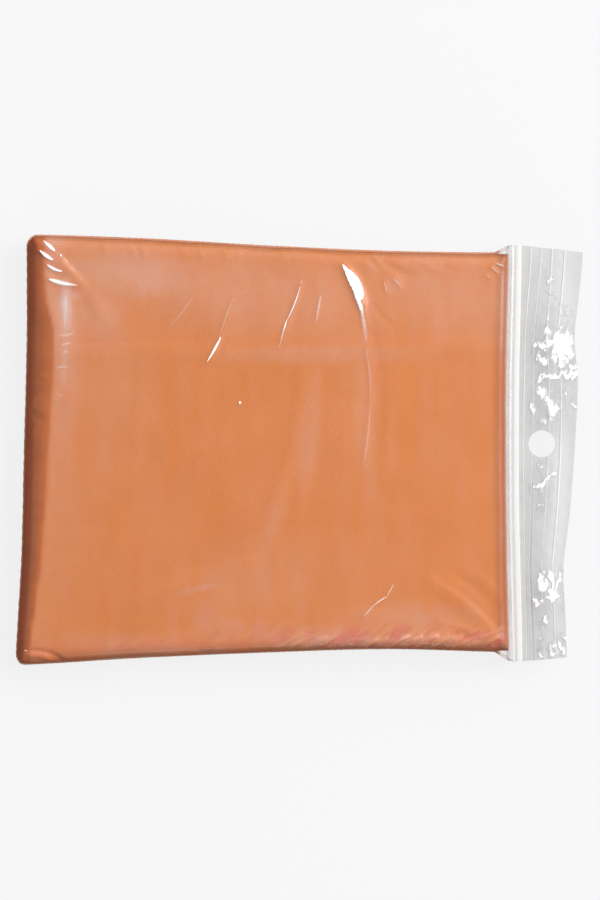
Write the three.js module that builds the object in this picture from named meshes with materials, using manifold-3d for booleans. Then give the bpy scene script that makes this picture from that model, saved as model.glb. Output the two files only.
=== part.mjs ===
// A rain poncho folded into a flat packet, inside its press-to-close pouch of clear film.
// Millimetres, +Z up. The packet lies on its back: +X runs from the pouch's folded bottom end to
// its lip, +Y across it, and the origin is on the surface under the middle of the whole.

import * as THREE from "three";
import { mergeVertices } from "three/addons/utils/BufferGeometryUtils.js";
import Module from "manifold-3d";

const wasm = await Module();
wasm.setup();

// Driving sizes
const packetHeight = 12.2;
const seamHeight = 5.2; // side seams, bottom fold and zip lie this high
const filmWall = 0.5; // pouch film, made thicker than the real 0.06
const turnWall = 1.0; // one turn of the folded garment, some twenty films thick
const seat = 0.3; // gap between pieces that lie on each other
const edgeGap = 0.55; // height from the seam line to the edge of either film
const weldHeight = 0.5;
const weldProud = 0.2; // how far the weld bead stands out of the film

// Pouch body seen from above: edges at even shares of its length and width.
const outline = [
  { share: 0.0, left: -64.1, zip: 49.3, lower: -48.7, upper: 48.6 },
  { share: 0.25, left: -62.8, zip: 48.8, lower: -47.1, upper: 47.7 },
  { share: 0.5, left: -62.2, zip: 48.6, lower: -45.9, upper: 46.1 },
  { share: 0.75, left: -61.6, zip: 48.7, lower: -45.1, upper: 44.9 },
  { share: 1.0, left: -61.6, zip: 49.2, lower: -45.8, upper: 44.5 },
];
// The film widens to the zip's ends over this length.
const flareLength = 4.0;
const flareUpper = 1.6;
const flareLower = 2.0;

// Rounded rims: how far in from the outline each one reaches, above and below the seam line.
const upperRim = { left: 5.2, right: 3.4, lower: 4.2, upper: 4.6 };
const underRim = { left: 3.6, right: 3.0, lower: 3.2, upper: 3.2 };
// Corner roundings, as shares of the rims that meet there.
const corner = { left: 0.6, right: 0.12 };

// The outer turn ends at this share of the rims, and the layers show beyond it.
const turnEdge = 0.45;
const layerCount = 7;
const layerGroove = 0.7;

// Zip: a groove on the front film and a tongue on the back film.
const zipHalfWidth = 1.15;
const zipFilm = 0.4;
const zipHalfHeight = 1.15;
const zipEnds = { lower: -47.9, upper: 46.2 };

// Lip: two films outside the zip. Distances are measured along the flat film from the zip's side.
const lipWidth = 14.0;
const lipGap = 0.15; // from the lip's middle surface to each film
const lipTaper = { lower: 0.9, upper: 1.5 }; // how much shorter its outer edge is at either end
const ribs = [2.0, 4.3, 7.0, 10.4];
const ribHalfWidth = 0.35;
const ribHeight = 0.35;
const hangHole = { x: 55.0, y: 1.3, radius: 3.1 };
// The crumpled lip at shares of its length: how far it reaches out from the zip, the height of the
// hump across its middle, and how far its outer edge lies above the seam line.
const lipForm = [
  { share: 0.0, reach: 9.8, crest: 2.0, brim: 0.8 },
  { share: 0.1, reach: 9.6, crest: 2.9, brim: 1.4 },
  { share: 0.22, reach: 9.5, crest: 3.4, brim: 1.0 },
  { share: 0.36, reach: 11.2, crest: 2.8, brim: 0.4 },
  { share: 0.53, reach: 12.5, crest: 1.8, brim: -0.4 },
  { share: 0.68, reach: 13.0, crest: 1.4, brim: 0.3 },
  { share: 0.79, reach: 12.1, crest: 2.3, brim: 1.0 },
  { share: 0.9, reach: 13.0, crest: 1.2, brim: -0.6 },
  { share: 1.0, reach: 13.7, crest: 0.5, brim: -1.2 },
];

// The largest creases of the front film, where it stands off the garment. Bow is how far the
// middle of a crease lies to the left of the straight line from its start to its end.
const creases = [
  { name: "corner diagonal", from: [-62.5, 48.5], to: [-47.5, 33.0], bow: 0.6, half: 1.7, height: 0.7 },
  { name: "corner fan high", from: [-59.0, 48.0], to: [-52.0, 42.0], bow: 0.5, half: 1.3, height: 0.6 },
  { name: "corner fan low", from: [-61.5, 41.0], to: [-50.0, 37.2], bow: 0.6, half: 1.3, height: 0.6 },
  { name: "long gleam", from: [8.5, 44.0], to: [15.8, 10.0], bow: 2.2, half: 1.9, height: 0.8 },
  { name: "middle gleam", from: [1.5, 41.0], to: [-4.5, 22.5], bow: -0.4, half: 1.5, height: 0.55 },
  { name: "left gleam", from: [-13.5, 37.0], to: [-22.0, 17.0], bow: -0.6, half: 1.5, height: 0.5 },
  { name: "long fall", from: [1.0, 20.0], to: [-9.5, -18.0], bow: 2.4, half: 2.0, height: 0.45 },
  { name: "near ridge", from: [-49.0, -34.5], to: [-9.0, -25.5], bow: -1.0, half: 2.2, height: 0.6 },
  { name: "corner fold", from: [27.0, -27.5], to: [47.0, -46.5], bow: 1.6, half: 2.0, height: 0.8 },
];

// A smooth curve through one column of a table, read at a share that is kept within 0 to 1.
function columnOf(table, column) {
  const knots = table.map((row) => new THREE.Vector2(row.share, row[column]));
  const curve = new THREE.SplineCurve(knots);
  return (share) => {
    const kept = THREE.MathUtils.clamp(share, 0, 1);
    const i = Math.max(knots.findIndex((knot) => knot.x >= kept), 1);
    const local = (kept - knots[i - 1].x) / (knots[i].x - knots[i - 1].x);
    return curve.getPoint((i - 1 + local) / (knots.length - 1)).y;
  };
}

const leftEdge = columnOf(outline, "left");
const zipLine = columnOf(outline, "zip");
const lowerEdge = columnOf(outline, "lower");
const upperEdge = columnOf(outline, "upper");
const lipReach = columnOf(lipForm, "reach");
const lipCrest = columnOf(lipForm, "crest");
const lipBrim = columnOf(lipForm, "brim");

// Nominal length and width of the body, before its edges are bent to the outline.
const bodyLength = 111.4;
const bodyWidth = 94.3;

// Bends a nominal place, measured from the body's lower left corner, to the true outline.
function bent(alongLength, alongWidth, flared) {
  const u = alongLength / bodyLength;
  const v = alongWidth / bodyWidth;
  const rightEdge = zipLine(v) - zipHalfWidth - seat;
  const x = THREE.MathUtils.lerp(leftEdge(v), rightEdge, u);
  const flare = flared ? THREE.MathUtils.smoothstep(alongLength, bodyLength - flareLength, bodyLength) : 0;
  const lower = lowerEdge(u) - flare * flareLower;
  const upper = upperEdge(u) + flare * flareUpper;
  return new THREE.Vector2(x, THREE.MathUtils.lerp(lower, upper, v));
}

// A point of a surface nested inset millimetres inside the packet's skin. near says, for each
// direction, how far the place is from its nearest edge as a share of that rim. The corner is
// rounded by carrying the two straight legs of each ring onto a quarter circle.
function nestedPoint(place, rims, insets, upward, flared) {
  const side = {
    x: place.length < bodyLength / 2 ? "left" : "right",
    y: place.width < bodyWidth / 2 ? "lower" : "upper",
  };
  const reach = { x: rims[side.x], y: rims[side.y] };
  const fromEdge = {
    x: Math.min(place.length, bodyLength - place.length),
    y: Math.min(place.width, bodyWidth - place.width),
  };
  const near = { x: fromEdge.x / reach.x, y: fromEdge.y / reach.y };
  const ring = Math.min(near.x, near.y, 1);
  const round = corner[side.x];
  if (near.x < round && near.y < round) {
    const radius = round - ring;
    const share = radius > 1e-9 ? (round - Math.max(near.x, near.y)) / radius : 0;
    const angle = (share * Math.PI) / 4;
    const [long, short] = [round - radius * Math.cos(angle), round - radius * Math.sin(angle)];
    [near.x, near.y] = near.x <= near.y ? [long, short] : [short, long];
  }
  const inset = { x: insets[side.x], y: insets[side.y] };
  const moved = (axis) =>
    near[axis] < 1 ? inset[axis] + near[axis] * (reach[axis] - inset[axis]) : fromEdge[axis];
  const alongLength = side.x === "left" ? moved("x") : bodyLength - moved("x");
  const alongWidth = side.y === "lower" ? moved("y") : bodyWidth - moved("y");
  const plan = bent(alongLength, alongWidth, flared);
  const lift = Math.sqrt(1 - (1 - ring) ** 2);
  const crown = upward ? packetHeight - insets.face : insets.face;
  return new THREE.Vector3(plan.x, plan.y, THREE.MathUtils.lerp(seamHeight, crown, lift));
}

const evenInsets = (depth) => ({ left: depth, right: depth, lower: depth, upper: depth, face: depth });

// Distances from one edge to the other: steps round both rims, then even cells between them.
function stations(span, firstRim, lastRim, firstShare, lastShare, rimSteps, cells) {
  const shares = (least) =>
    Array.from({ length: rimSteps + 1 }, (_, i) => {
      const start = Math.acos(1 - least);
      return 1 - Math.cos(THREE.MathUtils.lerp(start, Math.PI / 2, i / rimSteps));
    });
  const first = shares(firstShare).map((s) => s * firstRim);
  const last = shares(lastShare).map((s) => span - s * lastRim);
  const middle = Array.from({ length: cells - 1 }, (_, i) =>
    THREE.MathUtils.lerp(firstRim, span - lastRim, (i + 1) / cells),
  );
  return [...first, ...middle, ...last.reverse()];
}

// Share of a rim at which a surface that rises by crown starts when it is lifted by edgeGap.
const liftedShare = (crown) => 1 - Math.sqrt(1 - (edgeGap / crown) ** 2);

// A closed wall between two grids of points, the first one outside. Both are arrays of rows.
function wallBetween(outer, inner) {
  const rows = outer.length;
  const columns = outer[0].length;
  const points = [...outer.flat(), ...inner.flat()];
  const at = (layer, r, c) => layer * rows * columns + r * columns + c;
  const faces = [];
  const quad = (a, b, c, d) => faces.push(a, b, c, a, c, d);
  for (let r = 0; r < rows - 1; r++) {
    for (let c = 0; c < columns - 1; c++) {
      quad(at(0, r, c), at(0, r, c + 1), at(0, r + 1, c + 1), at(0, r + 1, c));
      quad(at(1, r, c), at(1, r + 1, c), at(1, r + 1, c + 1), at(1, r, c + 1));
    }
    quad(at(0, r, 0), at(0, r + 1, 0), at(1, r + 1, 0), at(1, r, 0));
    quad(at(0, r, columns - 1), at(1, r, columns - 1), at(1, r + 1, columns - 1), at(0, r + 1, columns - 1));
  }
  for (let c = 0; c < columns - 1; c++) {
    quad(at(0, 0, c), at(1, 0, c), at(1, 0, c + 1), at(0, 0, c + 1));
    quad(at(0, rows - 1, c), at(0, rows - 1, c + 1), at(1, rows - 1, c + 1), at(1, rows - 1, c));
  }
  const geometry = new THREE.BufferGeometry().setFromPoints(points);
  geometry.setIndex(faces);
  return facingOut(geometry);
}

// Turns every face of a closed geometry round if its volume comes out negative.
function facingOut(geometry) {
  const index = geometry.index.array;
  const position = geometry.attributes.position;
  const [a, b, c] = [new THREE.Vector3(), new THREE.Vector3(), new THREE.Vector3()];
  let volume = 0;
  for (let i = 0; i < index.length; i += 3) {
    a.fromBufferAttribute(position, index[i]);
    b.fromBufferAttribute(position, index[i + 1]);
    c.fromBufferAttribute(position, index[i + 2]);
    volume += a.dot(b.cross(c));
  }
  if (volume < 0) {
    for (let i = 0; i < index.length; i += 3) {
      [index[i + 1], index[i + 2]] = [index[i + 2], index[i + 1]];
    }
  }
  return geometry;
}

// A closed solid through equal rings of points, with a fan to the middle of each end ring.
function loft(rings) {
  const around = rings[0].length;
  const points = rings.flat();
  const faces = [];
  for (let k = 0; k < rings.length - 1; k++) {
    for (let i = 0; i < around; i++) {
      const j = (i + 1) % around;
      const [a, b] = [k * around + i, k * around + j];
      faces.push(a, b, b + around, a, b + around, a + around);
    }
  }
  for (const end of [0, rings.length - 1]) {
    const middle = new THREE.Vector3();
    rings[end].forEach((p) => middle.addScaledVector(p, 1 / around));
    points.push(middle);
    const centre = points.length - 1;
    for (let i = 0; i < around; i++) {
      const [a, b] = [end * around + i, end * around + ((i + 1) % around)];
      faces.push(...(end === 0 ? [centre, b, a] : [centre, a, b]));
    }
  }
  const geometry = new THREE.BufferGeometry().setFromPoints(points);
  geometry.setIndex(faces);
  return facingOut(geometry);
}

// Height of the front film over its smooth form: each crease is a soft ridge along a bowed line,
// highest in its middle and fading to both ends. It also fades where the film turns down.
function creaseHeight(x, y) {
  return creases.reduce((sum, crease) => {
    const from = new THREE.Vector2(...crease.from);
    const run = new THREE.Vector2(...crease.to).sub(from);
    const length = run.length();
    run.normalize();
    const offset = new THREE.Vector2(x, y).sub(from);
    const share = offset.dot(run) / length;
    if (share <= 0 || share >= 1) return sum;
    const arch = Math.sin(Math.PI * share);
    const aside = run.x * offset.y - run.y * offset.x - crease.bow * arch;
    return sum + crease.height * Math.sqrt(arch) * Math.exp(-((aside / crease.half) ** 2));
  }, 0);
}

// Unit normals of a grid of points, from the steps to its neighbours. They point up or outwards.
function gridNormals(grid) {
  const rows = grid.length;
  const columns = grid[0].length;
  const step = (r0, c0, r1, c1) => new THREE.Vector3().subVectors(grid[r1][c1], grid[r0][c0]);
  return grid.map((row, r) =>
    row.map((_, c) => {
      const along = step(r, Math.max(c - 1, 0), r, Math.min(c + 1, columns - 1));
      const across = step(Math.max(r - 1, 0), c, Math.min(r + 1, rows - 1), c);
      return along.cross(across).normalize();
    }),
  );
}

function pouchFrontFilm() {
  const start = liftedShare(packetHeight - seamHeight);
  const lengths = stations(bodyLength, upperRim.left, upperRim.right, start, start, 4, 22);
  const widths = stations(bodyWidth, upperRim.lower, upperRim.upper, start, start, 4, 20);
  const skin = (depth) =>
    widths.map((width) =>
      lengths.map((length) => nestedPoint({ length, width }, upperRim, evenInsets(depth), true, true)),
    );
  const outer = skin(0);
  const inner = skin(filmWall);
  const normals = gridNormals(outer);
  outer.forEach((row, r) =>
    row.forEach((point, c) => {
      const lift = creaseHeight(point.x, point.y) * Math.max(normals[r][c].z, 0) ** 2;
      point.addScaledVector(normals[r][c], lift);
      inner[r][c].addScaledVector(normals[r][c], lift);
    }),
  );
  return wallBetween(outer, inner);
}

function pouchBackFilm() {
  const start = liftedShare(seamHeight);
  const lengths = stations(bodyLength, underRim.left, underRim.right, start, start, 3, 8);
  const widths = stations(bodyWidth, underRim.lower, underRim.upper, start, start, 3, 7);
  const skin = (depth) =>
    widths.map((width) =>
      lengths.map((length) => nestedPoint({ length, width }, underRim, evenInsets(depth), false, true)),
    );
  return wallBetween(skin(0), skin(filmWall));
}

// The outer turn runs over the top from the zip end, round the fold and back along the under side.
function outerTurn() {
  const over = stations(bodyLength, upperRim.left, upperRim.right, 0, turnEdge, 4, 8);
  const under = stations(bodyLength, underRim.left, underRim.right, 0, turnEdge, 3, 4);
  const across = (rims) => stations(bodyWidth, rims.lower, rims.upper, turnEdge, turnEdge, 3, 7);
  const upperWidths = across(upperRim);
  const underWidths = across(underRim);
  const skin = (depth) =>
    upperWidths.map((_, r) => [
      ...over
        .map((length) =>
          nestedPoint({ length, width: upperWidths[r] }, upperRim, evenInsets(depth), true, false),
        )
        .reverse(),
      ...under
        .slice(1)
        .map((length) =>
          nestedPoint({ length, width: underWidths[r] }, underRim, evenInsets(depth), false, false),
        ),
    ]);
  return wallBetween(skin(filmWall + seat), skin(filmWall + seat + turnWall));
}

// Hidden turns as one solid. Its rings follow the packet's rims and are pinched between layers.
function innerLayers() {
  const covered = filmWall + seat + turnWall + seat;
  const open = filmWall + seat;
  const [low, high] = [covered, packetHeight - covered];
  const ringsPerLayer = 3;
  const ringCount = layerCount * ringsPerLayer;
  const layer = (high - low) / layerCount;
  const rims = (upward) => (upward ? upperRim : underRim);
  // Between these heights the outer turn leaves the sides and the zip end open.
  const turnLift = Math.sqrt(1 - (1 - turnEdge) ** 2);
  const openAbove = seamHeight - turnLift * (seamHeight - open - turnWall) + seat;
  const openBelow = seamHeight + turnLift * (packetHeight - open - turnWall - seamHeight) - seat;
  const sides = perimeterPlaces(16, 14);
  const rings = Array.from({ length: ringCount + 1 }, (_, k) => {
    const height = low + (k / ringsPerLayer) * layer;
    const upward = height >= seamHeight;
    const crown = upward ? high - seamHeight : seamHeight - low;
    const lift = Math.min(Math.abs(height - seamHeight) / crown, 1);
    const ring = 1 - Math.sqrt(1 - lift ** 2);
    const shown = height > openAbove && height < openBelow;
    const pinch = layerGroove * Math.cos((Math.PI * k) / ringsPerLayer) ** 4;
    const depth = (shown ? open : covered) + pinch;
    const insets = { left: covered + pinch, right: depth, lower: depth, upper: depth, face: 0 };
    return sides.map((place) => {
      const rim = rims(upward);
      const point = nestedPoint(place(ring, rim), rim, insets, upward, false);
      return point.setZ(height);
    });
  });
  return loft(rings);
}

// Functions that give the places of one ring round the body, at a share of the rims. Each has the
// same number of places, so that rings can be joined.
function perimeterPlaces(cellsAlong, cellsAcross) {
  const run = (cells) => Array.from({ length: cells }, (_, i) => i / cells);
  const between = (share, ring, first, last, span) =>
    THREE.MathUtils.lerp(ring * first, span - ring * last, cornerSpread(share));
  const x = (share, ring, rim) => between(share, ring, rim.left, rim.right, bodyLength);
  const y = (share, ring, rim) => between(share, ring, rim.lower, rim.upper, bodyWidth);
  const lowerSide = (s) => (q, rim) => ({ length: x(s, q, rim), width: q * rim.lower });
  const zipSide = (s) => (q, rim) => ({ length: bodyLength - q * rim.right, width: y(s, q, rim) });
  const upperSide = (s) => (q, rim) => ({ length: x(1 - s, q, rim), width: bodyWidth - q * rim.upper });
  const foldSide = (s) => (q, rim) => ({ length: q * rim.left, width: y(1 - s, q, rim) });
  return [
    ...run(cellsAlong).map(lowerSide),
    ...run(cellsAcross).map(zipSide),
    ...run(cellsAlong).map(upperSide),
    ...run(cellsAcross).map(foldSide),
  ];
}

// Crowds even shares towards both ends, so that corners get more places than straight runs.
function cornerSpread(share) {
  const crowding = 0.8;
  return THREE.MathUtils.lerp(share, (1 - Math.cos(Math.PI * share)) / 2, crowding);
}

// A strip on the seam line through nominal places, from weldProud outside the film to its inside.
function seamStrip(places) {
  const half = weldHeight / 2;
  const rings = places.map((place) => {
    const inside = nestedPoint(place, upperRim, evenInsets(filmWall), true, true);
    const outside = nestedPoint(place, upperRim, evenInsets(-weldProud), true, true);
    return [
      new THREE.Vector3(inside.x, inside.y, seamHeight - half),
      new THREE.Vector3(outside.x, outside.y, seamHeight - half),
      new THREE.Vector3(outside.x, outside.y, seamHeight + half),
      new THREE.Vector3(inside.x, inside.y, seamHeight + half),
    ];
  });
  return loft(rings);
}

// Places along one edge of the body, kept clear of its neighbours at both ends.
function edgePlaces(span, startClear, endClear, count, placeAt) {
  return Array.from({ length: count + 1 }, (_, i) =>
    placeAt(THREE.MathUtils.lerp(startClear, span - endClear, cornerSpread(i / count))),
  );
}

const sideWeld = (width) =>
  seamStrip(edgePlaces(bodyLength, seat, 0, 20, (length) => ({ length, width })));

const bottomFold = () =>
  seamStrip(edgePlaces(bodyWidth, seat, seat, 18, (width) => ({ length: 0, width })));

// A point of the zip's middle line, at a share of its length from the lower end.
function zipPoint(share) {
  const y = THREE.MathUtils.lerp(zipEnds.lower, zipEnds.upper, share);
  const along = (y - lowerEdge(1)) / (upperEdge(1) - lowerEdge(1));
  return new THREE.Vector3(zipLine(along), y, seamHeight);
}

// A point of the lip: distance along the flat film from the zip's side, share of the zip's length,
// and height off the lip's middle surface. The film leaves the zip level, humps and ends level.
function lipPoint(distance, share, off) {
  const out = distance / lipWidth;
  const reach = lipReach(share);
  const crest = lipCrest(share);
  const brim = lipBrim(share);
  const point = zipPoint(share);
  point.x += zipHalfWidth + seat + reach * out;
  point.y += out * THREE.MathUtils.lerp(lipTaper.lower, -lipTaper.upper, share);
  point.z += crest * Math.sin(Math.PI * out) ** 2 + brim * THREE.MathUtils.smoothstep(out, 0, 1);
  const rise = crest * Math.PI * Math.sin(2 * Math.PI * out) + brim * 6 * out * (1 - out);
  const normal = new THREE.Vector3(-rise, 0, reach).normalize();
  return point.addScaledVector(normal, off);
}

function lipColumns() {
  const crests = ribs.flatMap((rib) => [rib - ribHalfWidth, rib, rib + ribHalfWidth]);
  return [0, ...crests, (ribs.at(-1) + lipWidth) / 2, lipWidth];
}

// One lip film, on the upper side (+1) or the under side (-1) of the lip's middle surface, with
// its grip ribs raised outside and the hang hole cut straight down.
function lipFilm(side) {
  const rows = 16;
  const columns = lipColumns();
  const skin = (off, ribbed) =>
    Array.from({ length: rows + 1 }, (_, r) =>
      columns.map((distance) => {
        const raised = ribbed && ribs.includes(distance) ? ribHeight : 0;
        return lipPoint(distance, r / rows, side * (off + raised));
      }),
    );
  const wall = wallBetween(skin(lipGap + filmWall, true), skin(lipGap, false));
  const punchLength = 4 * packetHeight;
  const punchSides = 32;
  const punch = new THREE.CylinderGeometry(hangHole.radius, hangHole.radius, punchLength, punchSides);
  punch.rotateX(Math.PI / 2);
  punch.translate(hangHole.x, hangHole.y, 0);
  return fromSolid(solidOf(wall).subtract(solidOf(punch)));
}

function solidOf(geometry) {
  const bare = geometry.clone();
  bare.deleteAttribute("normal");
  bare.deleteAttribute("uv");
  const merged = mergeVertices(bare, 1e-4);
  return new wasm.Manifold(
    new wasm.Mesh({
      numProp: 3,
      vertProperties: new Float32Array(merged.attributes.position.array),
      triVerts: new Uint32Array(merged.index.array),
    }),
  );
}

function fromSolid(solid) {
  const { vertProperties, triVerts, numProp } = solid.getMesh();
  const count = vertProperties.length / numProp;
  const position = new Float32Array(count * 3);
  for (let i = 0; i < count; i++) {
    position.set(vertProperties.subarray(i * numProp, i * numProp + 3), i * 3);
  }
  return new THREE.BufferGeometry()
    .setAttribute("position", new THREE.BufferAttribute(position, 3))
    .setIndex(new THREE.BufferAttribute(triVerts, 1));
}

// A zip half: its section, in distance from the zip's middle and height over the seam line, is
// carried along the zip line.
function zipHalf(section) {
  const steps = 12;
  const rings = Array.from({ length: steps + 1 }, (_, i) => {
    const middle = zipPoint(i / steps);
    return section.map(([across, up]) => middle.clone().add(new THREE.Vector3(across, 0, up)));
  });
  return prism(rings);
}

// A closed solid through equal rings of points, its ends triangulated as flat outlines.
function prism(rings) {
  const around = rings[0].length;
  const points = rings.flat();
  const faces = [];
  for (let k = 0; k < rings.length - 1; k++) {
    for (let i = 0; i < around; i++) {
      const [a, b] = [k * around + i, k * around + ((i + 1) % around)];
      faces.push(a, b, b + around, a, b + around, a + around);
    }
  }
  const flat = rings[0].map((p) => new THREE.Vector2(p.x, p.z));
  const last = (rings.length - 1) * around;
  for (const [a, b, c] of THREE.ShapeUtils.triangulateShape(flat, [])) {
    faces.push(c, b, a, last + a, last + b, last + c);
  }
  const geometry = new THREE.BufferGeometry().setFromPoints(points);
  geometry.setIndex(faces);
  return facingOut(geometry);
}

// The groove opens downwards, and its two jaws hook inwards at their tips.
function zipGroove() {
  const jaw = 0.4;
  const hook = 0.15;
  const tip = -zipHalfHeight + zipFilm + seat;
  const roof = zipHalfHeight - zipFilm;
  const inside = zipHalfWidth - jaw;
  return zipHalf([
    [-zipHalfWidth, tip],
    [-inside + hook, tip],
    [-inside + hook, tip + seat],
    [-inside, tip + 2 * seat],
    [-inside, roof],
    [inside, roof],
    [inside, tip + 2 * seat],
    [inside - hook, tip + seat],
    [inside - hook, tip],
    [zipHalfWidth, tip],
    [zipHalfWidth, zipHalfHeight],
    [-zipHalfWidth, zipHalfHeight],
  ]);
}

// The tongue stands on its film strip and widens to an arrow head inside the groove.
function zipTongue() {
  const stem = 0.26;
  const head = 0.42;
  const barb = { neck: 0.05, tip: 0.1 }; // heights over the seam line
  const floor = -zipHalfHeight + zipFilm;
  const top = zipHalfHeight - zipFilm - seat;
  return zipHalf([
    [-zipHalfWidth, -zipHalfHeight],
    [zipHalfWidth, -zipHalfHeight],
    [zipHalfWidth, floor],
    [stem, floor],
    [stem, barb.neck],
    [head, barb.tip],
    [stem / 2, top],
    [-stem / 2, top],
    [-head, barb.tip],
    [-stem, barb.neck],
    [-stem, floor],
    [-zipHalfWidth, floor],
  ]);
}

const garment = { color: 0xe0813f, roughness: 0.55, metalness: 0 };
const clearFilm = { color: 0xf2f3f2, roughness: 0.12, metalness: 0, transparent: true, opacity: 0.3 };
const milkyFilm = { color: 0xf4f3f1, roughness: 0.25, metalness: 0, transparent: true, opacity: 0.85 };

function piece(name, geometry, finish) {
  const flat = geometry.index ? geometry.toNonIndexed() : geometry;
  flat.computeVertexNormals();
  const mesh = new THREE.Mesh(flat, new THREE.MeshStandardMaterial(finish));
  mesh.name = name;
  return mesh;
}

const poncho = new THREE.Group();
poncho.add(piece("outer_turn", outerTurn(), garment));
poncho.add(piece("inner_layers", innerLayers(), garment));

const pouch = new THREE.Group();
pouch.add(piece("pouch_front_film", pouchFrontFilm(), clearFilm));
pouch.add(piece("pouch_back_film", pouchBackFilm(), clearFilm));
pouch.add(piece("bottom_fold", bottomFold(), clearFilm));
pouch.add(piece("side_weld_lower", sideWeld(0), clearFilm));
pouch.add(piece("side_weld_upper", sideWeld(bodyWidth), clearFilm));
pouch.add(piece("zip_groove", zipGroove(), milkyFilm));
pouch.add(piece("zip_tongue", zipTongue(), milkyFilm));
pouch.add(piece("lip_front_film", lipFilm(1), clearFilm));
pouch.add(piece("lip_back_film", lipFilm(-1), clearFilm));

const part = new THREE.Group();
part.add(poncho, pouch);

export default part;
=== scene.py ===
"""The looks of a film rain poncho, folded in its press-to-close pouch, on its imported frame.

Lengths in the dataclasses are millimetres in the frame's own axes: +X from the pouch's folded end
to its lip, +Y across it and +Z up. Meshes are handed to Blender in metres.
"""

import logging
import math
from dataclasses import dataclass
from enum import Enum
from typing import Callable, Sequence

import bpy
import numpy as np
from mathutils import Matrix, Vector


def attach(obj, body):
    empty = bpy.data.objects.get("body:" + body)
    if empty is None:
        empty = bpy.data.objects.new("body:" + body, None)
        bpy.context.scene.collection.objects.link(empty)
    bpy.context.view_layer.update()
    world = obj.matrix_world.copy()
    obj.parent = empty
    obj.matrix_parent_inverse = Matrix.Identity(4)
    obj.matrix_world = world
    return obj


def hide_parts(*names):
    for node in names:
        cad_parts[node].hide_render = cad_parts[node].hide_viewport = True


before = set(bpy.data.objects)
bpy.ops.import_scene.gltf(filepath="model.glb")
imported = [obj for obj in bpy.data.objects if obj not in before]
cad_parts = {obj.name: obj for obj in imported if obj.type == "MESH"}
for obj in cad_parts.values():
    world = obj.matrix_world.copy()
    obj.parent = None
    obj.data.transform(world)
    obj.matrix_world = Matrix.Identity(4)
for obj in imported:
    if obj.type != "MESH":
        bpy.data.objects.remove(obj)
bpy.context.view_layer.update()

BODY = "root"
MM = 0.001
LOG = logging.getLogger("poncho")

Array = np.ndarray
Spot = tuple[float, float]
Knots = tuple[float, ...]
Colour = tuple[float, float, float, float]
Socket = bpy.types.NodeSocket
Piece = bpy.types.Object

WHITE: Colour = (1.0, 1.0, 1.0, 1.0)
# How far past a gleam's outline its values are still given to points, in millimetres.
STROKE_MARGIN = 0.3
# How far each octave of the two noises is shifted against the last, in lattice cells.
LAYER_SHIFT = (7.3, 3.1)
CRUMPLE_SHIFT = (5.7, 9.2)
# Sum of the strengths of three octaves.
THREE_OCTAVES = 1.75


class Facing(Enum):
    """Which way the faces of a grid turn."""

    OUT = 1
    TURNED = -1


class FilmTone(Enum):
    """How the pouch's film looks on its stretches."""

    BODY = "pouch_film"
    LIP = "lip_film"
    WELD = "weld_film"


@dataclass(frozen=True)
class Rims:
    """How far in from the outline each rounded rim reaches."""

    left: float
    right: float
    lower: float
    upper: float


@dataclass(frozen=True)
class Crease:
    """A soft ridge along a bowed line, or a groove where its height is negative."""

    start: Spot
    end: Spot
    bow: float
    left_half: float
    right_half: float
    height: float


@dataclass(frozen=True)
class Patch:
    """An oval place that looks different: haze with painted sheen, painted shade or painted glints.
    """

    centre: Spot
    half_x: float
    half_y: float
    turn: float
    strength: float


@dataclass(frozen=True)
class Stroke:
    """A painted gleam on the film: a tapered stroke along a bowed line, widest at its peak."""

    start: Spot
    end: Spot
    bow: float
    half: float
    peak: float = 0.5
    shine: float = 1.0
    soft: float = 0.5
    fade: float = 0.0


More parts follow.
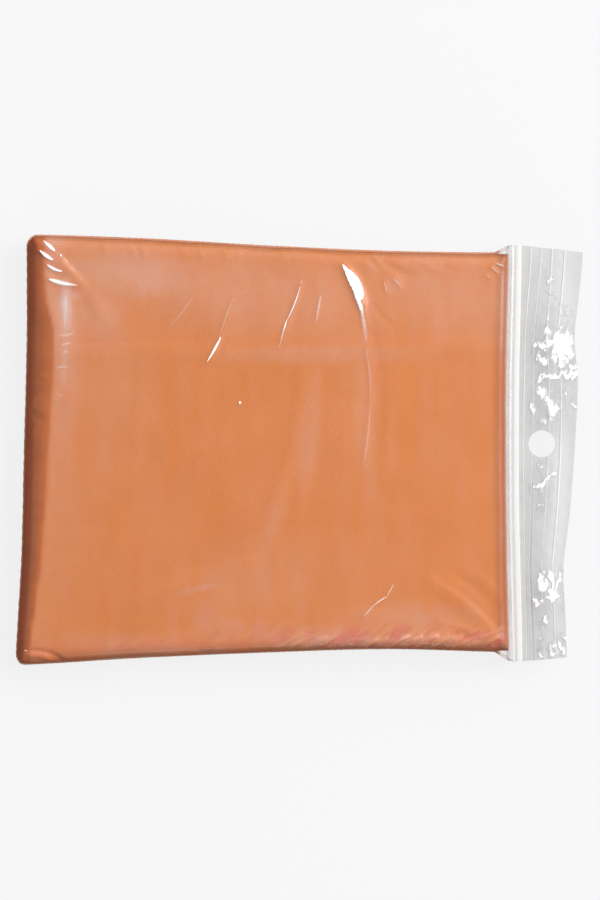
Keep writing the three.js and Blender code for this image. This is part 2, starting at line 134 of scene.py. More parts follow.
# Creases of film and garment that show one by one: start, end, bow, half widths and height.
FILM_CREASES = (
    # The tuck at the upper left corner and the ridges beside it.
    Crease((-60.6, 47.9), (-47.6, 36.4), 0.6, 0.6, 1.6, 0.5),
    Crease((-60.9, 46.6), (-53.6, 42.4), 0.2, 0.7, 0.5, -0.45),
    Crease((-50.2, 39.2), (-42.5, 26.5), 0.4, 2.0, 1.6, 0.22),
    Crease((-59.4, 45.6), (-54.6, 42.4), -0.15, 0.5, 0.5, 0.3),
    Crease((-58.2, 42.6), (-52.6, 40.0), -0.35, 0.6, 0.5, 0.28),
    Crease((-58.2, 38.9), (-49.2, 37.2), -0.35, 0.8, 0.6, 0.35),
    Crease((-57.6, 35.8), (-52.0, 35.4), -0.3, 0.6, 0.7, 0.12),
    # Ticks on the folded end's rim, and the ridge inside it.
    Crease((-59.2, 17.0), (-56.6, 15.6), 0.3, 0.3, 0.3, 0.3),
    Crease((-60.6, 10.4), (-57.4, 12.2), 0.4, 0.35, 0.3, 0.3),
    Crease((-60.8, 3.2), (-58.2, 5.0), 0.3, 0.35, 0.3, 0.26),
    Crease((-61.0, -8.0), (-58.6, -6.4), 0.3, 0.35, 0.3, 0.26),
    Crease((-60.4, 8.6), (-57.2, 6.6), -0.5, 0.7, 0.6, -0.3),
    Crease((-52.2, 37.0), (-52.7, 8.0), 0.0, 1.8, 1.6, 0.12),
    # The great ridge and its falls.
    Crease((9.0, 42.6), (14.6, 31.6), 0.6, 1.5, 1.3, 0.6),
    Crease((12.9, 36.0), (15.0, 27.6), 0.3, 0.9, 0.6, 0.35),
    Crease((14.8, 25.4), (16.2, 8.0), 0.4, 0.7, 0.5, 0.15),
    Crease((16.4, 27.0), (18.2, 16.0), 0.3, 0.8, 0.6, -0.08),
    Crease((15.6, 12.0), (14.2, -5.5), 0.3, 0.8, 0.6, 0.13),
    # Short ridges of the upper half.
    Crease((0.8, 39.2), (-4.4, 24.0), 0.45, 0.5, 0.6, 0.24),
    Crease((-17.2, 25.8), (-21.0, 19.2), 0.1, 0.5, 0.6, 0.24),
    Crease((-13.6, 36.0), (-18.0, 24.8), -0.3, 0.8, 0.7, 0.14),
    Crease((-23.4, 35.2), (-29.2, 27.4), 0.2, 0.5, 0.4, 0.1),
    Crease((4.9, 35.0), (3.6, 28.0), 0.1, 0.5, 0.5, 0.13),
    # Long soft falls.
    Crease((0.6, 20.4), (-9.4, -18.4), 2.6, 2.4, 1.7, 0.17),
    Crease((3.4, 20.0), (-1.8, -18.0), 1.6, 1.3, 1.1, 0.08),
    Crease((22.0, 24.0), (17.5, -8.0), 1.0, 3.0, 2.4, 0.14),
    Crease((-30.2, 4.8), (-30.4, -4.6), 0.0, 1.6, 1.2, 0.12),
    Crease((-36.0, 22.0), (-38.4, -16.0), 0.6, 1.8, 1.4, 0.1),
    # The lower half: a streak, the ridge near the weld and a cut.
    Crease((-24.0, -20.2), (-29.6, -27.6), 0.3, 0.7, 0.5, 0.1),
    Crease((-46.0, -35.4), (-10.0, -24.4), -1.6, 1.6, 2.4, 0.2),
    Crease((-27.0, -27.6), (-6.0, -20.5), -0.6, 2.0, 1.5, -0.12),
    Crease((14.0, -38.2), (17.2, -34.6), 0.0, 0.4, 0.35, 0.12),
    Crease((16.8, -34.9), (20.0, -33.0), 0.0, 0.4, 0.35, 0.14),
    Crease((19.6, -33.2), (21.6, -30.0), 0.0, 0.4, 0.35, 0.12),
    # Ridges and troughs that run into the zip's lower corner.
    Crease((28.6, -28.6), (46.2, -43.8), 1.3, 0.9, 2.2, 0.3),
    Crease((33.4, -27.4), (43.9, -36.4), 1.0, 1.3, 0.9, -0.15),
    Crease((38.0, -27.0), (46.0, -34.5), 0.8, 1.0, 1.3, 0.1),
    Crease((30.5, -38.6), (44.0, -43.6), 0.8, 0.8, 0.7, 0.12),
    Crease((33.0, -41.2), (45.0, -44.6), 0.5, 0.7, 0.6, -0.12),
    # Short ridges in the zip's upper corner.
    Crease((43.6, 42.3), (46.5, 40.9), 0.1, 0.5, 0.4, 0.22),
    Crease((42.8, 41.7), (44.9, 39.3), 0.1, 0.5, 0.4, 0.22),
    Crease((41.7, 39.8), (43.4, 38.0), 0.1, 0.45, 0.4, 0.16),
    # The fan beside the great ridge.
    Crease((15.4, 43.4), (18.2, 40.6), -0.2, 0.8, 0.5, -0.2),
    Crease((19.0, 38.6), (20.2, 34.4), 0.0, 0.5, 0.5, 0.16),
    Crease((20.8, 38.8), (23.5, 35.8), 0.2, 0.6, 0.5, 0.2),
    Crease((18.0, 42.8), (26.6, 38.6), -0.5, 0.9, 0.8, -0.24),
    Crease((16.4, 33.0), (21.6, 27.4), -0.5, 0.5, 0.5, -0.14),
    Crease((27.0, 42.8), (34.0, 39.0), -0.4, 0.9, 0.9, 0.12),
    # The tuck at the lower left corner, and a pleat in the lower weld.
    Crease((-61.4, -45.2), (-57.4, -45.3), 0.2, 0.35, 0.45, -0.5),
    Crease((-57.8, -45.2), (-52.4, -48.3), 0.5, 0.4, 0.5, -0.55),
    Crease((-61.6, -46.3), (-55.4, -47.4), 0.6, 0.5, 0.5, 0.4),
    Crease((-23.4, -45.4), (-18.0, -40.9), 0.2, 0.5, 0.6, -0.4),
)

# Painted gleams of the front film: start, end, bow, half width, peak, shine, softness and fade.
FILM_STROKES = (
    # Down the great ridge.
    Stroke((9.5, 41.9), (14.3, 33.6), 0.42, 1.26, 0.6, 1.0, 0.16),
    Stroke((12.2, 35.8), (14.5, 29.2), 0.35, 0.72, 0.42, 1.0, 0.8, 0.3),
    Stroke((14.0, 31.4), (15.2, 23.6), 0.1, 0.8, 0.3, 0.42, 1.0, 0.9),
    Stroke((15.0, 23.0), (16.0, 10.3), 0.4, 0.5, 0.4, 0.08, 1.0),
    Stroke((16.0, 10.6), (14.4, -4.0), 0.3, 0.5, 0.5, 0.08, 1.0),
    # Down the middle ridge and the short ridges.
    Stroke((0.8, 38.8), (-2.9, 28.6), 0.4, 0.26, 0.62, 0.62, 1.0),
    Stroke((-2.8, 29.0), (-3.5, 26.6), 0.0, 0.26, 0.5, 0.9, 0.9),
    Stroke((-3.3, 27.6), (-4.5, 22.6), 0.0, 0.28, 0.3, 0.5, 1.0, 0.8),
    Stroke((-17.5, 25.3), (-20.7, 19.6), 0.1, 0.36, 0.42, 1.0, 0.8),
    Stroke((-14.5, 34.6), (-18.0, 24.8), -0.2, 0.3, 0.5, 0.12, 1.0),
    Stroke((-23.6, 34.8), (-29.1, 27.5), 0.2, 0.28, 0.5, 0.09, 1.0),
    Stroke((4.9, 34.8), (3.8, 28.4), 0.0, 0.5, 0.4, 0.22, 1.0),
    # On the ridges of the upper left corner.
    Stroke((-57.5, 47.0), (-54.7, 44.5), 0.05, 0.46, 0.58, 1.0, 0.6),
    Stroke((-58.3, 44.8), (-54.9, 42.4), -0.15, 0.52, 0.5, 1.0, 0.7),
    Stroke((-56.7, 41.6), (-52.7, 39.9), -0.3, 0.56, 0.42, 0.85, 1.0),
    Stroke((-56.3, 38.3), (-49.6, 36.9), -0.25, 0.84, 0.42, 1.0, 1.0, 0.5),
    Stroke((-53.7, 43.9), (-53.1, 43.2), 0.0, 0.36, 0.5, 0.75, 0.9),
    Stroke((-53.2, 43.3), (-51.4, 41.4), 0.0, 0.45, 0.3, 0.12, 1.0, 0.5),
    # Inside the folded end.
    Stroke((-52.4, 34.6), (-52.7, 27.0), 0.0, 1.0, 0.3, 0.1, 1.0),
    Stroke((-54.2, 25.7), (-50.4, 26.3), -0.3, 0.5, 0.4, 0.13, 1.0),
    Stroke((-53.6, 23.6), (-51.0, 24.2), -0.2, 0.5, 0.4, 0.15, 1.0),
    Stroke((-53.2, 21.6), (-51.6, 22.1), 0.1, 0.5, 0.5, 0.12, 1.0),
    Stroke((-54.8, 18.3), (-51.4, 18.6), 0.1, 0.46, 0.4, 0.12, 1.0),
    Stroke((-54.6, 12.6), (-52.8, 11.6), 0.1, 0.46, 0.4, 0.08, 1.0),
    # Along the cut in the lower half.
    Stroke((14.2, -37.9), (17.0, -34.7), 0.0, 0.18, 0.6, 0.4, 0.9),
    Stroke((16.8, -35.0), (20.0, -32.9), 0.1, 0.22, 0.5, 0.5, 0.9),
    Stroke((19.6, -33.2), (21.4, -30.0), 0.0, 0.18, 0.5, 0.4, 0.9),
    # In the zip's upper corner and on the fan.
    Stroke((43.9, 42.1), (46.2, 41.0), 0.0, 0.36, 0.5, 0.3, 1.0),
    Stroke((43.0, 41.4), (44.8, 39.5), 0.0, 0.34, 0.5, 0.26, 1.0),
    Stroke((42.0, 39.5), (43.1, 38.3), 0.0, 0.3, 0.5, 0.16, 1.0),
    Stroke((19.1, 37.9), (19.9, 34.9), 0.0, 0.4, 0.5, 0.12, 1.0),
    Stroke((21.2, 38.3), (23.1, 36.3), 0.1, 0.42, 0.4, 0.14, 1.0),
    # A glint on the top, and one in the lower left corner.
    Stroke((-13.6, 10.7), (-13.0, 10.4), 0.0, 0.5, 0.5, 1.0, 0.7),
    Stroke((-61.8, -45.2), (-61.1, -45.2), 0.0, 0.2, 0.5, 0.6, 0.8),
)

# Places where the garment turns under a fold of film, with painted shade there: centre, half
# sizes, turn in degrees and strength, as in the two tables that follow.
PAINTED_SHADE_PATCHES = (
    # Upper left corner.
    Patch((-56.0, 44.3), 2.6, 0.7, -38.0, 0.34),
    Patch((-55.6, 42.1), 2.4, 0.7, -30.0, 0.26),
    Patch((-59.4, 43.6), 1.6, 3.4, 0.0, 0.3),
    Patch((-58.8, 46.6), 2.0, 1.0, -40.0, 0.26),
    Patch((-52.0, 35.8), 4.0, 1.0, -16.0, 0.1),
    # Right of the great ridge.
    Patch((13.6, 35.4), 0.3, 1.6, -30.0, 0.2),
    Patch((17.0, 24.0), 0.5, 3.6, -12.0, 0.16),
    Patch((17.6, 17.6), 0.4, 3.0, -12.0, 0.12),
    # Along the lower weld.
    Patch((-24.6, -43.4), 4.0, 1.0, 20.0, 0.16),
    Patch((-21.4, -38.0), 1.8, 3.0, 0.0, 0.14),
    Patch((-15.2, -40.6), 2.4, 2.2, 0.0, 0.14),
    Patch((-9.0, -40.8), 1.6, 2.6, 8.0, 0.12),
    Patch((-2.0, -42.0), 2.2, 2.6, 8.0, 0.12),
    Patch((6.0, -41.6), 2.8, 2.0, 12.0, 0.1),
)

# Places where the film stands off the garment and hazes. On the upper part, inside the folded
# end and beside single gleams the haze is also painted sheen.
HAZE_AND_SHEEN_PATCHES = (
    # The upper part.
    Patch((-37.0, 39.5), 16.0, 5.0, -8.0, 0.62),
    Patch((-8.0, 35.0), 26.0, 8.0, -4.0, 0.36),
    Patch((35.0, 35.0), 15.0, 9.0, -12.0, 0.36),
    Patch((-47.0, 32.0), 7.0, 9.0, 20.0, 0.36),
    Patch((-53.0, 30.0), 3.4, 11.0, 2.0, 0.6),
    Patch((-44.0, 14.0), 9.0, 20.0, 0.0, 0.12),
    # Under the upper fold, and down the long falls.
    Patch((5.0, 21.6), 20.0, 1.9, 0.0, 0.3),
    Patch((2.6, 5.0), 1.8, 14.0, -6.0, 0.22),
    Patch((-5.0, -15.0), 1.6, 8.0, -16.0, 0.2),
    Patch((15.0, 8.0), 2.2, 14.0, 4.0, 0.26),
    # The lower part and its weld.
    Patch((-10.0, -30.0), 16.0, 8.0, 12.0, 0.16),
    Patch((-21.4, -38.0), 2.2, 3.4, 0.0, 0.32),
    Patch((-15.0, -40.2), 3.0, 2.6, 0.0, 0.34),
    Patch((-9.0, -40.6), 2.0, 3.0, 8.0, 0.28),
    Patch((-2.0, -41.8), 2.4, 3.4, 8.0, 0.26),
    Patch((-35.0, -44.6), 20.0, 2.6, -4.0, 0.26),
    Patch((12.0, -42.2), 34.0, 2.3, 0.0, 0.34),
    Patch((26.0, -38.0), 12.0, 3.0, 0.0, 0.3),
    # A painted sheen streak inside the folded end.
    Patch((-52.4, 31.8), 1.4, 5.8, 0.0, 1.7),
    Patch((-52.8, 20.0), 1.0, 8.0, -2.0, 0.8),
    # Painted sheen beside single gleams.
    Patch((-21.8, -31.1), 4.6, 0.7, 13.0, 0.4),
    Patch((14.9, 26.0), 0.9, 4.0, -8.0, 0.3),
    Patch((16.6, 40.4), 1.8, 1.6, -30.0, 0.3),
    Patch((22.0, 37.0), 2.6, 2.6, 0.0, 0.4),
    Patch((-51.4, 34.6), 2.4, 1.2, -10.0, 0.9),
)

# Painted glints of the lip: bright patches on its crumples, where its film glitters.
LIP_PAINTED_GLINTS = (
    # The great cluster above the hang hole.
    Patch((59.3, 22.7), 2.7, 3.3, 0.0, 1.2),
    Patch((55.3, 23.8), 2.2, 1.6, 30.0, 0.8),
    Patch((55.9, 26.6), 0.5, 1.9, 0.0, 0.9),
    Patch((58.2, 26.4), 0.6, 2.4, -18.0, 1.0),
    Patch((60.6, 25.8), 1.0, 2.2, 8.0, 0.9),
    Patch((55.2, 20.1), 1.3, 0.8, -20.0, 0.95),
    Patch((61.6, 19.2), 1.7, 0.7, -40.0, 1.0),
    Patch((59.8, 16.9), 3.7, 0.75, 2.0, 1.3),
    Patch((54.6, 16.2), 1.7, 0.35, 42.0, 0.7),
    # Round the upper side of the hang hole.
    Patch((54.8, 13.2), 1.3, 0.8, -30.0, 1.05),
    Patch((55.9, 11.4), 1.4, 0.7, -50.0, 1.05),
    Patch((57.2, 9.2), 1.4, 2.1, 10.0, 0.75),
    Patch((55.8, 6.6), 1.6, 1.1, 0.0, 0.7),
    Patch((53.2, 9.3), 0.7, 0.8, 0.0, 0.65),
    Patch((62.2, 10.2), 1.1, 0.6, 0.0, 0.8),
    Patch((60.2, 12.6), 0.8, 0.6, 0.0, 0.6),
    # The upper end.
    Patch((56.3, 38.4), 0.7, 1.1, 0.0, 0.75),
    Patch((56.9, 35.4), 0.9, 0.5, -20.0, 0.8),
    Patch((56.1, 29.2), 0.4, 1.8, 0.0, 0.7),
    Patch((59.4, 31.4), 3.0, 0.9, -10.0, 0.42),
    # Under the hang hole.
    Patch((55.3, -7.0), 2.9, 0.6, 31.0, 1.05),
    Patch((54.8, -3.8), 0.7, 0.9, 0.0, 0.75),
    Patch((54.3, -12.8), 1.2, 0.35, 52.0, 0.95),
    # The lower cluster.
    Patch((55.1, -30.4), 0.95, 2.3, 0.0, 1.05),
    Patch((57.0, -30.4), 0.4, 2.8, 7.0, 1.1),
    Patch((58.4, -30.2), 0.5, 3.2, -10.0, 1.15),
    Patch((58.0, -33.4), 2.0, 0.9, 20.0, 0.95),
    Patch((59.8, -32.4), 1.5, 0.9, 20.0, 0.65),
    Patch((54.4, -34.6), 1.0, 0.4, 20.0, 0.95),
    Patch((55.5, -38.6), 0.4, 1.4, -25.0, 0.9),
    # The lower end.
    Patch((54.8, -43.4), 0.35, 1.4, 0.0, 0.6),
    Patch((54.7, -46.0), 0.6, 0.6, 0.0, 0.75),
    Patch((57.3, -45.4), 0.8, 1.2, 0.0, 0.95),
    Patch((59.2, -44.8), 0.4, 1.8, 22.0, 0.8),
    Patch((60.3, -44.2), 0.4, 2.2, 26.0, 0.9),
    # Faint halos round the clusters.
    Patch((58.4, 21.6), 4.6, 6.4, 0.0, 0.4),
    Patch((56.4, 10.6), 3.6, 5.0, 0.0, 0.36),
    Patch((57.2, -31.6), 3.6, 5.4, 0.0, 0.36),
    Patch((55.6, -8.6), 2.0, 5.0, 0.0, 0.32),
)


def smoothstep(low: float, high: float, value: Array) -> Array:
    """0 below low, 1 above high, and 3t2 - 2t3 of the share t between."""
    share = np.clip((value - low) / (high - low), 0.0, 1.0)
    return share * share * (3.0 - 2.0 * share)


def blend(low: Array, high: Array, share: Array) -> Array:
    """low at share 0, high at share 1, and a straight line between."""
    return low + (high - low) * share


def knot_curve(shares: Knots, values: Knots) -> Callable[[Array], Array]:
    """A smooth curve through knots, read at a share that is kept within them.

    Each span is the Catmull-Rom cubic of its two knots and their two neighbours.

    Args:
        shares: Where the knots stand, in rising order.
        values: The value at each knot.

    Returns:
        A function from an array of shares to an array of values.
    """
    at, value = np.asarray(shares, float), np.asarray(values, float)
    last = len(at) - 1

    def read(share: Array) -> Array:
        """The curve's value at each share."""
        kept = np.clip(share, at[0], at[-1])
        span = np.clip(np.searchsorted(at, kept, side="left"), 1, last) - 1
        t = (kept - at[span]) / (at[span + 1] - at[span])
        before, low = value[np.maximum(span - 1, 0)], value[span]
        high, after = value[span + 1], value[np.minimum(span + 2, last)]
        pull_in, pull_out = (high - before) / 2, (after - low) / 2
        return (
            (2 * low - 2 * high + pull_in + pull_out) * t**3
            + (-3 * low + 3 * high - 2 * pull_in - pull_out) * t**2
            + pull_in * t
            + low
        )

    return read


def lattice_noise(u: Array, v: Array, seed: int) -> Array:
    """Smooth noise from -1 to 1: seeded values on a unit lattice, blended by a smoothstep."""
    cells = 64
    values = np.random.default_rng(seed).uniform(-1.0, 1.0, (cells, cells))
    column, row = np.floor(u).astype(int), np.floor(v).astype(int)
    along, across = smoothstep(0.0, 1.0, u - column), smoothstep(0.0, 1.0, v - row)

    def corner(step_u: int, step_v: int) -> Array:
        """The lattice's value at one corner of each place's cell."""
        return values[(column + step_u) % cells, (row + step_v) % cells]

    low = blend(corner(0, 0), corner(1, 0), along)
    high = blend(corner(0, 1), corner(1, 1), along)
    return blend(low, high, across)


def octave_sum(
    u: Array, v: Array, seed: int, octaves: int, shift: Spot, shape: Callable[[Array], Array]
) -> Array:
    """Octaves of lattice noise, each twice as fine and half as strong as the last, summed.

    Args:
        u: Places along the first axis, in lattice cells.
        v: Places along the second.
        seed: Seed of the first octave.
        octaves: Number of octaves.
        shift: How far each octave is shifted against the last.
        shape: What is done to each octave's noise before it is added.

    Returns:
        The sum.
    """
    total = np.zeros(np.broadcast(u, v).shape)
    for octave in range(octaves):
        fine = 2.0**octave
        across, along = u * fine + shift[0] * octave, v * fine + shift[1] * octave
        total += shape(lattice_noise(across, along, seed + octave)) / fine
    return total


def layered_noise(u: Array, v: Array, seed: int, octaves: int = 3) -> Array:
    """Smooth noise with finer noise on it."""
    return octave_sum(u, v, seed, octaves, LAYER_SHIFT, lambda noise: noise)


def crumple_noise(u: Array, v: Array, seed: int, octaves: int = 3) -> Array:
    """Sharp crests up to 1: one less twice the size of lattice noise, summed in octaves."""
    crests = octave_sum(u, v, seed, octaves, CRUMPLE_SHIFT, lambda noise: 1.0 - 2.0 * np.abs(noise))
    return crests / THREE_OCTAVES


def along_line(start: Spot, end: Spot, x: Array, y: Array) -> tuple[Array, Array, float]:
    """Places seen from a straight line.

    Args:
        start: Start of the line.
        end: End of the line.
        x: Places along the packet.
        y: Places across it.

    Returns:
        The share of the line's length, the distance to its left and the line's length.
    """
    run = np.subtract(end, start)
    length = float(np.hypot(*run))
    run = run / length
    dx, dy = x - start[0], y - start[1]
    return (dx * run[0] + dy * run[1]) / length, run[0] * dy - run[1] * dx, length


def crease_field(creases: Sequence[Crease], x: Array, y: Array) -> Array:
    """Height that creases add to places.

    Each crease runs along a straight line bowed by a sine. Across it the height falls as
    exp(-(a/half)^2) with its own half on either side, and along it as the square root of a sine.

    Args:
        creases: The creases.
        x: Places along the packet.
        y: Places across it.

    Returns:
        The height in millimetres.
    """
    height = np.zeros(x.shape)
    for crease in creases:
        share, aside, _ = along_line(crease.start, crease.end, x, y)
        arch = np.sin(np.pi * np.clip(share, 0.0, 1.0))
        aside = aside - crease.bow * arch
        half = np.where(aside > 0, crease.left_half, crease.right_half)
        height += crease.height * np.sqrt(arch) * np.exp(-((aside / half) ** 2))
    return height


def stroke_field(strokes: Sequence[Stroke], x: Array, y: Array) -> dict[str, Array]:
    """What the film's material needs to draw each painted gleam sharply between the points of a
    mesh.

    Near a stroke each point carries its signed distance from the stroke's line and the stroke's
    half width there, which are both even enough to be read between points. Elsewhere the half
    width is -1, so that nothing is drawn.

    Args:
        strokes: The gleams.
        x: Places along the packet.
        y: Places across it.

    Returns:
        The values stroke_off and stroke_reach in millimetres, stroke_shine and stroke_soft.
    """
    best = np.full(x.shape, -STROKE_MARGIN)
    off, reach = np.zeros(x.shape), np.full(x.shape, -1.0)
    shine, soft = np.zeros(x.shape), np.ones(x.shape)
    for stroke in strokes:
        share, aside, length = along_line(stroke.start, stroke.end, x, y)
        kept = np.clip(share, 0.0, 1.0)
        aside = aside - stroke.bow * np.sin(np.pi * kept)
        arch = np.sin(np.pi * kept ** (math.log(0.5) / math.log(stroke.peak)))
        width = stroke.half * arch**0.75 - np.abs(share - kept) * length
        level = width - np.abs(aside)
        near = level > best
        best = np.where(near, level, best)
        off, reach = np.where(near, aside, off), np.where(near, width, reach)
        shine = np.where(near, stroke.shine * (1.0 - stroke.fade * kept), shine)
        soft = np.where(near, stroke.soft, soft)
    return {"stroke_off": off, "stroke_reach": reach, "stroke_shine": shine, "stroke_soft": soft}


def patch_field(patches: Sequence[Patch], x: Array, y: Array, edge: float) -> Array:
    """The strongest of some oval patches at each place, soft over the given share of their size."""
    total = np.zeros(x.shape)
    for patch in patches:
        turn = math.radians(patch.turn)
        dx, dy = x - patch.centre[0], y - patch.centre[1]
        along = (dx * math.cos(turn) + dy * math.sin(turn)) / patch.half_x
        across = (dy * math.cos(turn) - dx * math.sin(turn)) / patch.half_y
        inside = 1.0 - np.hypot(along, across)
        total = np.maximum(total, patch.strength * smoothstep(-edge, edge, inside))
    return total


def grid_faces(rows: int, columns: int, facing: Facing, closed: bool = False) -> Array:
    """The quads of a grid of points.

    Args:
        rows: Number of rows.
        columns: Number of points in a row.
        facing: Whether the faces look along row x column or against it.
        closed: True if each row is a ring.

    Returns:
        An array with four indices a quad.
    """
    r = np.arange(rows - 1)[:, None]
    c = np.arange(columns if closed else columns - 1)[None, :]
    right = (c + 1) % columns
    low, high = r * columns, (r + 1) * columns
    corners = [low + c, low + right, high + right, high + c]
    faces = np.stack([k.ravel() for k in corners], axis=1)
    return faces if facing is Facing.OUT else faces[:, ::-1]


def mesh_object(name: str, points: Array, faces: Array) -> Piece:
    """A smooth mesh object at the origin.

    Args:
        name: Name of the piece.
        points: Points in millimetres, three columns.
        faces: Four indices a face; a triangle repeats its last index.

    Returns:
        The object, linked to the scene.
    """
    triangle = faces[:, 2] == faces[:, 3]
    counts = np.where(triangle, 3, 4)
    keep = np.ones(faces.shape, bool)
    keep[triangle, 3] = False
    mesh = bpy.data.meshes.new(name)
    mesh.vertices.add(len(points))
    mesh.vertices.foreach_set("co", (points * MM).astype(np.float32).ravel())
    mesh.loops.add(int(counts.sum()))
    mesh.loops.foreach_set("vertex_index", faces[keep].astype(np.int32))
    mesh.polygons.add(len(faces))
    starts = np.concatenate([[0], np.cumsum(counts)[:-1]])
    mesh.polygons.foreach_set("loop_start", starts.astype(np.int32))
    mesh.polygons.foreach_set("use_smooth", np.ones(len(faces), bool))
    mesh.update(calc_edges=True)
    mesh.validate()
    made = bpy.data.objects.new(name, mesh)
    bpy.context.scene.collection.objects.link(made)
    return made


def grid_object(name: str, grid: Array, facing: Facing) -> Piece:
    """An open sheet through a grid of points, an array of rows x columns x 3."""
    faces = grid_faces(grid.shape[0], grid.shape[1], facing)
    return mesh_object(name, grid.reshape(-1, 3), faces)


def ring_solid(name: str, rings: Array, facing: Facing) -> Piece:
    """A closed solid through rings of points, each end closed by a fan to its middle."""
    count, around = rings.shape[:2]
    points = np.vstack([rings.reshape(-1, 3), rings[0].mean(0), rings[-1].mean(0)])
    walls = grid_faces(count, around, facing, closed=True)
    here = np.arange(around)
    after = (here + 1) % around
    far = (count - 1) * around
    first, last = np.full(around, count * around), np.full(around, count * around + 1)
    bottom = np.stack([after, here, first, first], axis=1)
    top = np.stack([here + far, after + far, last, last], axis=1)
    if facing is Facing.TURNED:
        bottom[:, [0, 1]] = bottom[:, [1, 0]]
        top[:, [0, 1]] = top[:, [1, 0]]
    return mesh_object(name, points, np.vstack([walls, bottom, top]))


def add_values(piece: Piece, name: str, values: Array) -> None:
    """Gives each point of a piece a named value that its material reads."""
    attribute = piece.data.attributes.new(name, "FLOAT", "POINT")
    attribute.data.foreach_set("value", values.astype(np.float32).ravel())


def thicken(piece: Piece, wall: float) -> None:
    """Makes a sheet a thin shell: its faces stay outside and the wall grows inwards."""
    shell = piece.modifiers.new("wall", "SOLIDIFY")
    shell.thickness = wall * MM
    shell.offset = -1.0


def grid_normals(grid: Array) -> Array:
    """Unit normals of a grid: the cross product of its steps along a row and across rows."""
    along = np.gradient(grid, axis=1)
    across = np.gradient(grid, axis=0)
    normal = np.cross(along, across)
    return normal / np.maximum(np.linalg.norm(normal, axis=2, keepdims=True), 1e-9)


